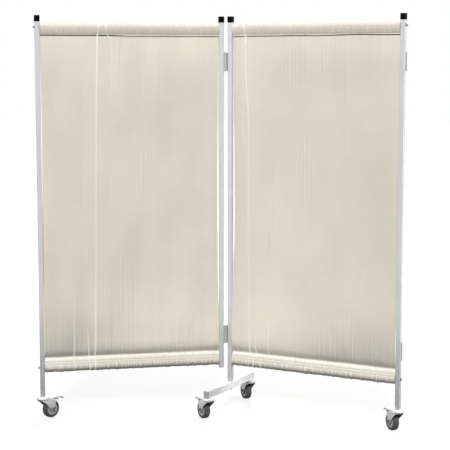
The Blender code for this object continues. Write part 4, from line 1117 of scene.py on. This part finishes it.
castor = {
    "tyreSides": 84,
    "roundSides": 56,
    "axleHeight": 0.0375,
    "trail": 0.043,
    "tyre": (  # half of the tyre's section in mm: radius, distance from the wheel's middle
        (26.3, 10.4), (26.5, 11.2), (27.2, 11.8), (28.4, 12.1), (28.8, 12.6), (30.6, 13.1), (32.6, 13.1),
        (34.5, 12.6), (36.0, 11.4), (36.9, 9.4), (37.35, 6.8), (37.48, 3.4), (37.5, 0.5), (37.3, 0.0)),
    "hub": (
        (4.3, 13.6), (4.8, 14.0), (8.9, 14.0), (9.5, 13.4), (9.8, 8.2), (10.8, 7.2), (16.6, 7.0), (17.9, 7.6),
        (18.6, 10.6), (19.2, 11.4), (21.4, 11.5), (21.8, 11.1), (22.5, 11.1), (22.9, 11.5), (25.4, 11.5),
        (26.0, 11.0)),
    "ribs": 6,
    "ribSteps": ((6.0, 1.1), (9.6, 0.9), (10.2, 0.5)),  # depth from the wheel's middle, half width, in mm
    "ribReach": (9.0, 19.2),
    "cup": (  # the stem's section from its top end down to the king pin's rivet, in mm: radius, height
        (0.0, 125.2), (7.2, 125.2), (8.1, 124.2), (8.1, 96.9), (12.5, 96.7), (13.2, 96.3), (17.6, 96.3), (18.3, 96.7),
        (22.1, 96.7), (23.6, 96.3), (24.7, 95.5), (25.3, 94.4), (25.5, 93.2), (25.5, 87.0), (25.1, 86.5),
        (24.0, 86.5), (23.7, 87.0), (23.7, 91.6), (23.3, 92.0), (5.0, 92.0), (5.0, 80.2), (7.4, 80.2), (8.0, 79.6),
        (8.0, 78.4), (6.6, 77.3), (0.0, 77.2)),
    "shank": ((0.0, -17.3), (4.0, -17.3), (4.0, 17.3), (0.0, 17.3)),
    "washer": ((0.0, 17.3), (6.2, 17.3), (6.5, 17.6), (6.5, 18.0), (6.2, 18.3), (0.0, 18.3)),
    "hex": ((0.0, 18.2), (5.5, 18.2), (5.5, 20.6), (4.8, 21.1), (0.0, 21.1)),
    "bevel": 0.0006,
    "flangeBevel": 0.0003,
    "pivot": (0.031, 0.079),
    "pedalLength": 0.081,
    "tipLift": 0.0045,  # the pedal's tip droops this much less than its plate
    "liftAlong": (0.62, 0.38),  # from which share of the length, over how much of it
    "tipDepth": 0.0036,  # and is this much thicker
    "depthAlong": (0.60, 0.15),
    "belowFacing": -0.2,
    "hexTurn": 0.3,
    "scuffed": (0.53, 0.35),  # painted shade on the toe past this share of the length, on faces that tilt up less than this
    "flangePlace": (12.5, 13.7),  # the pedal's turned-down sides, in mm from its middle
    "flange": (  # their outline about the pivot, in mm: out, up
        (-1.5, 7.6), (10.0, 8.4), (30.0, 8.0), (48.0, 6.4), (56.0, 4.8), (56.0, 3.4), (47.0, 2.2), (34.0, 0.6),
        (18.0, -0.6), (6.0, -1.4), (-1.5, -0.6)),
}


def loft(rings, closed=False):
    # Points and faces from ring to ring. A ring of one point is a tip, and an open end gets a face
    points = [point for ring in rings for point in ring]
    starts = np.cumsum([0] + [len(ring) for ring in rings]).tolist()
    numbers = [list(range(start, end)) for start, end in zip(starts, starts[1:])]
    faces = [] if closed else [tuple(ring) for ring in (numbers[0], numbers[-1]) if len(ring) > 1]
    count = max(len(ring) for ring in rings)
    for first, second in zip(numbers, numbers[1:] + (numbers[:1] if closed else [])):
        for index in range(count):
            after = (index + 1) % count
            around = ((first, index), (first, after), (second, after), (second, index))
            faces.append(tuple(dict.fromkeys(ring[spot % len(ring)] for ring, spot in around)))
    return points, faces


def lathe(profile, sides, axis, centre=(0.0, 0.0, 0.0), closed=False, turn=0.0):
    # A shape turned about a local axis: rows of radius and place along it, in mm
    rings = []
    for radius, along in profile:
        rings.append([])
        for index in range(1 if radius == 0.0 else sides):
            angle = turn + 2 * math.pi * index / sides
            near, far = radius * math.cos(angle) / 1000, radius * math.sin(angle) / 1000
            offset = (near, far, along / 1000) if axis == "up" else (near, along / 1000, far)
            rings[-1].append(Vector(centre) + Vector(offset))
    return loft(rings, closed)


def joinShapes(*shapes):
    points = []
    faces = []
    for somePoints, someFaces in shapes:
        start = len(points)
        points += somePoints
        faces += [tuple(start + index for index in face) for face in someFaces]
    return points, faces


def mirrored(half):
    return tuple(half) + tuple((radius, -along) for radius, along in reversed(half) if along != 0.0)


def addShape(shaped, place, shape):
    points, faces = shape
    corners = [shaped.verts.new(place @ point) for point in points]
    return [shaped.faces.new([corners[index] for index in face]) for face in faces]


def finishShape(name, shaped, smoothAngle):
    bmesh.ops.recalc_face_normals(shaped, faces=shaped.faces)
    mesh = bpy.data.meshes.new(name)
    shaped.to_mesh(mesh)
    shaped.free()
    return wrapMesh(name, mesh, smoothAngle)


def closedPiece(name, place, shape):
    shaped = bmesh.new()
    addShape(shaped, place, shape)
    return finishShape(name, shaped, 35.0)


def roundEdges(shaped, edges, width, **settings):
    bmesh.ops.bevel(shaped, geom=edges, offset=width, segments=2, affect="EDGES", clamp_overlap=True, **settings)


softening = {
    "flat": 2.0,  # degrees up to which faces are joined into one
    "sharp": 28.0,  # and from which an edge is rounded
    "profile": 0.6,
}


def softened(nodeName, name, width):
    # Copy of a CAD node with its loose triangles joined and its edges rounded
    shaped = bmesh.new()
    shaped.from_mesh(frame["nodes"][nodeName].data)
    bmesh.ops.remove_doubles(shaped, verts=shaped.verts, dist=1e-6)
    flat = math.radians(softening["flat"])
    bmesh.ops.dissolve_limit(shaped, angle_limit=flat, verts=shaped.verts, edges=shaped.edges)
    sharp = math.radians(softening["sharp"])
    edges = [edge for edge in shaped.edges if len(edge.link_faces) == 2 and edge.calc_face_angle(0.0) > sharp]
    roundEdges(shaped, edges, width, profile=softening["profile"])
    bmesh.ops.triangulate(shaped, faces=[face for face in shaped.faces if len(face.verts) > 4])
    return finishShape(name, shaped, 40.0)


def hubShape(centre):
    # A turned hub with ribs on both sides, each a bar that narrows outwards in steps
    shapes = [lathe(mirrored(castor["hub"]), castor["roundSides"], "across", centre, closed=True)]
    for index in range(castor["ribs"]):
        angle = 2 * math.pi * (index + 0.5) / castor["ribs"]
        out = Vector((math.cos(angle), 0.0, math.sin(angle)))
        aside = Vector((-math.sin(angle), 0.0, math.cos(angle)))
        near, far = castor["ribReach"]
        for sign in (-1, 1):
            shapes.append(loft([
                [Vector(centre) + (out * radius + aside * half * way + Vector((0.0, sign * depth, 0.0))) / 1000
                 for radius, way in ((near, -1), (near, 1), (far, 1), (far, -1))]
                for depth, half in castor["ribSteps"]]))
    return joinShapes(*shapes)


def axleShape(centre):
    shapes = [lathe(castor["shank"], castor["roundSides"], "across", centre)]
    for sign in (-1, 1):
        for part, sides in (("washer", castor["roundSides"]), ("hex", 6)):
            profile = [(radius, sign * along) for radius, along in castor[part]]
            shapes.append(lathe(profile, sides, "across", centre, turn=castor["hexTurn"] * sign))
    return joinShapes(*shapes)


def flangeShape():
    # The turned-down sides of the pedal
    out, up = castor["pivot"]
    return joinShapes(*[
        loft([[Vector((out + along / 1000, sign * aside / 1000, up + high / 1000)) for along, high in castor["flange"]]
              for aside in castor["flangePlace"]]) for sign in (-1, 1)])


def dressPedal(piece, place):
    # Lift the drooping tip a little, thicken it, and add the turned-down sides
    back = place.inverted()

    def shareAlong(point):
        return ((back @ point).x - castor["pivot"][0]) / castor["pedalLength"]

    shaped = bmesh.new()
    shaped.from_mesh(piece.data)
    shaped.normal_update()
    (liftFrom, liftOver), (depthFrom, depthOver) = castor["liftAlong"], castor["depthAlong"]
    for vert in shaped.verts:
        share = shareAlong(vert.co)
        down = castor["tipDepth"] * float(bump01((share - depthFrom) / depthOver))
        lift = castor["tipLift"] * float(bump01((share - liftFrom) / liftOver))
        vert.co.z += lift - (down if vert.normal.z < castor["belowFacing"] else 0.0)
    added = addShape(shaped, place, flangeShape())
    bmesh.ops.recalc_face_normals(shaped, faces=added)
    square = math.radians(60.0)
    edges = {edge for face in added for edge in face.edges if edge.calc_face_angle(0.0) > square}
    roundEdges(shaped, list(edges), castor["flangeBevel"])
    for face in shaped.faces:
        face.smooth = True
    shaped.to_mesh(piece.data)
    shaped.free()
    piece.data.set_sharp_from_angle(angle=math.radians(40.0))
    # Painted shade on the toe's sides and underside
    toe, facing = castor["scuffed"]
    worn = [float(shareAlong(face.center) > toe and face.normal.z < facing) for face in piece.data.polygons]
    piece.data.attributes.new("scuffed", "FLOAT", "FACE").data.foreach_set("value", worn)


def buildCastor(name):
    start = name + "_castor_"
    swivel = joints[start + "turn"]
    axle = joints[start + "roll"]
    out = Vector((axle.x - swivel.x, axle.y - swivel.y, 0.0)).normalized()
    across = Vector((0.0, 0.0, 1.0)).cross(out)
    place = Matrix(((out.x, across.x, 0.0, swivel.x), (out.y, across.y, 0.0, swivel.y),
                    (0.0, 0.0, 1.0, 0.0), (0.0, 0.0, 0.0, 1.0)))
    centre = (castor["trail"], 0.0, castor["axleHeight"])
    base = frame["nodes"][start + "stem"].parent.name.split(":", 1)[1]
    tyre = lathe(mirrored(castor["tyre"]), castor["tyreSides"], "across", centre, closed=True)
    cup = lathe(castor["cup"], castor["roundSides"], "up")
    for ending, shape, body, slot, look, node in (
            ("wheel_tyre", tyre, start + "wheel", "grey_tyre", "grey_tyre", "tyre"),
            ("wheel_hub", hubShape(centre), start + "wheel", "hub_plastic", "hub_plastic", "hub"),
            ("axle_bolt", axleShape(centre), start + "swivel", "axle_steel", "axle_steel", "axle"),
            ("stem_cup", cup, base, "castor_steel", "plated_cup", "stem")):
        fit(closedPiece(start + ending, place, shape), body, slot, finishes[look], start + node)
    for node, body, look in (("fork", "swivel", "castor_steel"), ("pedal", "brake", "pedal_steel")):
        piece = softened(start + node, start + node + "_pressing", castor["bevel"])
        if node == "pedal":
            dressPedal(piece, place)
        fit(piece, start + body, "castor_steel", finishes[look], start + node)


for name in ("left", "right", "front", "rear"):
    buildCastor(name)
print("castors made")


cap = {
    "bevel": 0.0011,
}
for name in ("left_outer_cap", "left_inner_cap", "right_outer_cap", "right_inner_cap"):
    piece = softened(name, name + "_moulding", cap["bevel"])
    fit(piece, name.split("_")[0] + "_section", "black_cap", finishes["black_cap"], name)
print("caps made")


railBolt = {
    "out": 0.790,  # the outer post's face, from the hinge axis
    "back": 0.017,
    "sides": 24,
    "profile": (  # radius, distance out of the post's face, in mm
        (0.0, 5.4), (2.2, 5.4), (2.3, 7.5), (3.2, 7.3), (4.3, 6.3), (5.0, 4.6), (5.3, 2.4), (5.3, 1.4), (6.4, 1.4),
        (6.7, 1.1), (6.7, 0.1), (3.0, 0.1), (3.0, -34.0), (0.0, -34.0)),
}
for side, name in sections:
    for level in ("upper", "lower"):
        node = name + "_" + level + "_outer_bolt"
        up = sum(corner[2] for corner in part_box(node)) / 2
        face = Matrix.Translation((railBolt["out"], railBolt["back"], up)) @ Matrix.Rotation(math.radians(90), 4, "Y")
        shape = lathe(railBolt["profile"], railBolt["sides"], "up")
        bolt = closedPiece(node + "_domed", sectionPlace(side) @ face, shape)
        fit(bolt, name + "_section", "zinc_fitting", finishes["rail_bolt"], node)
print("rail bolts made")
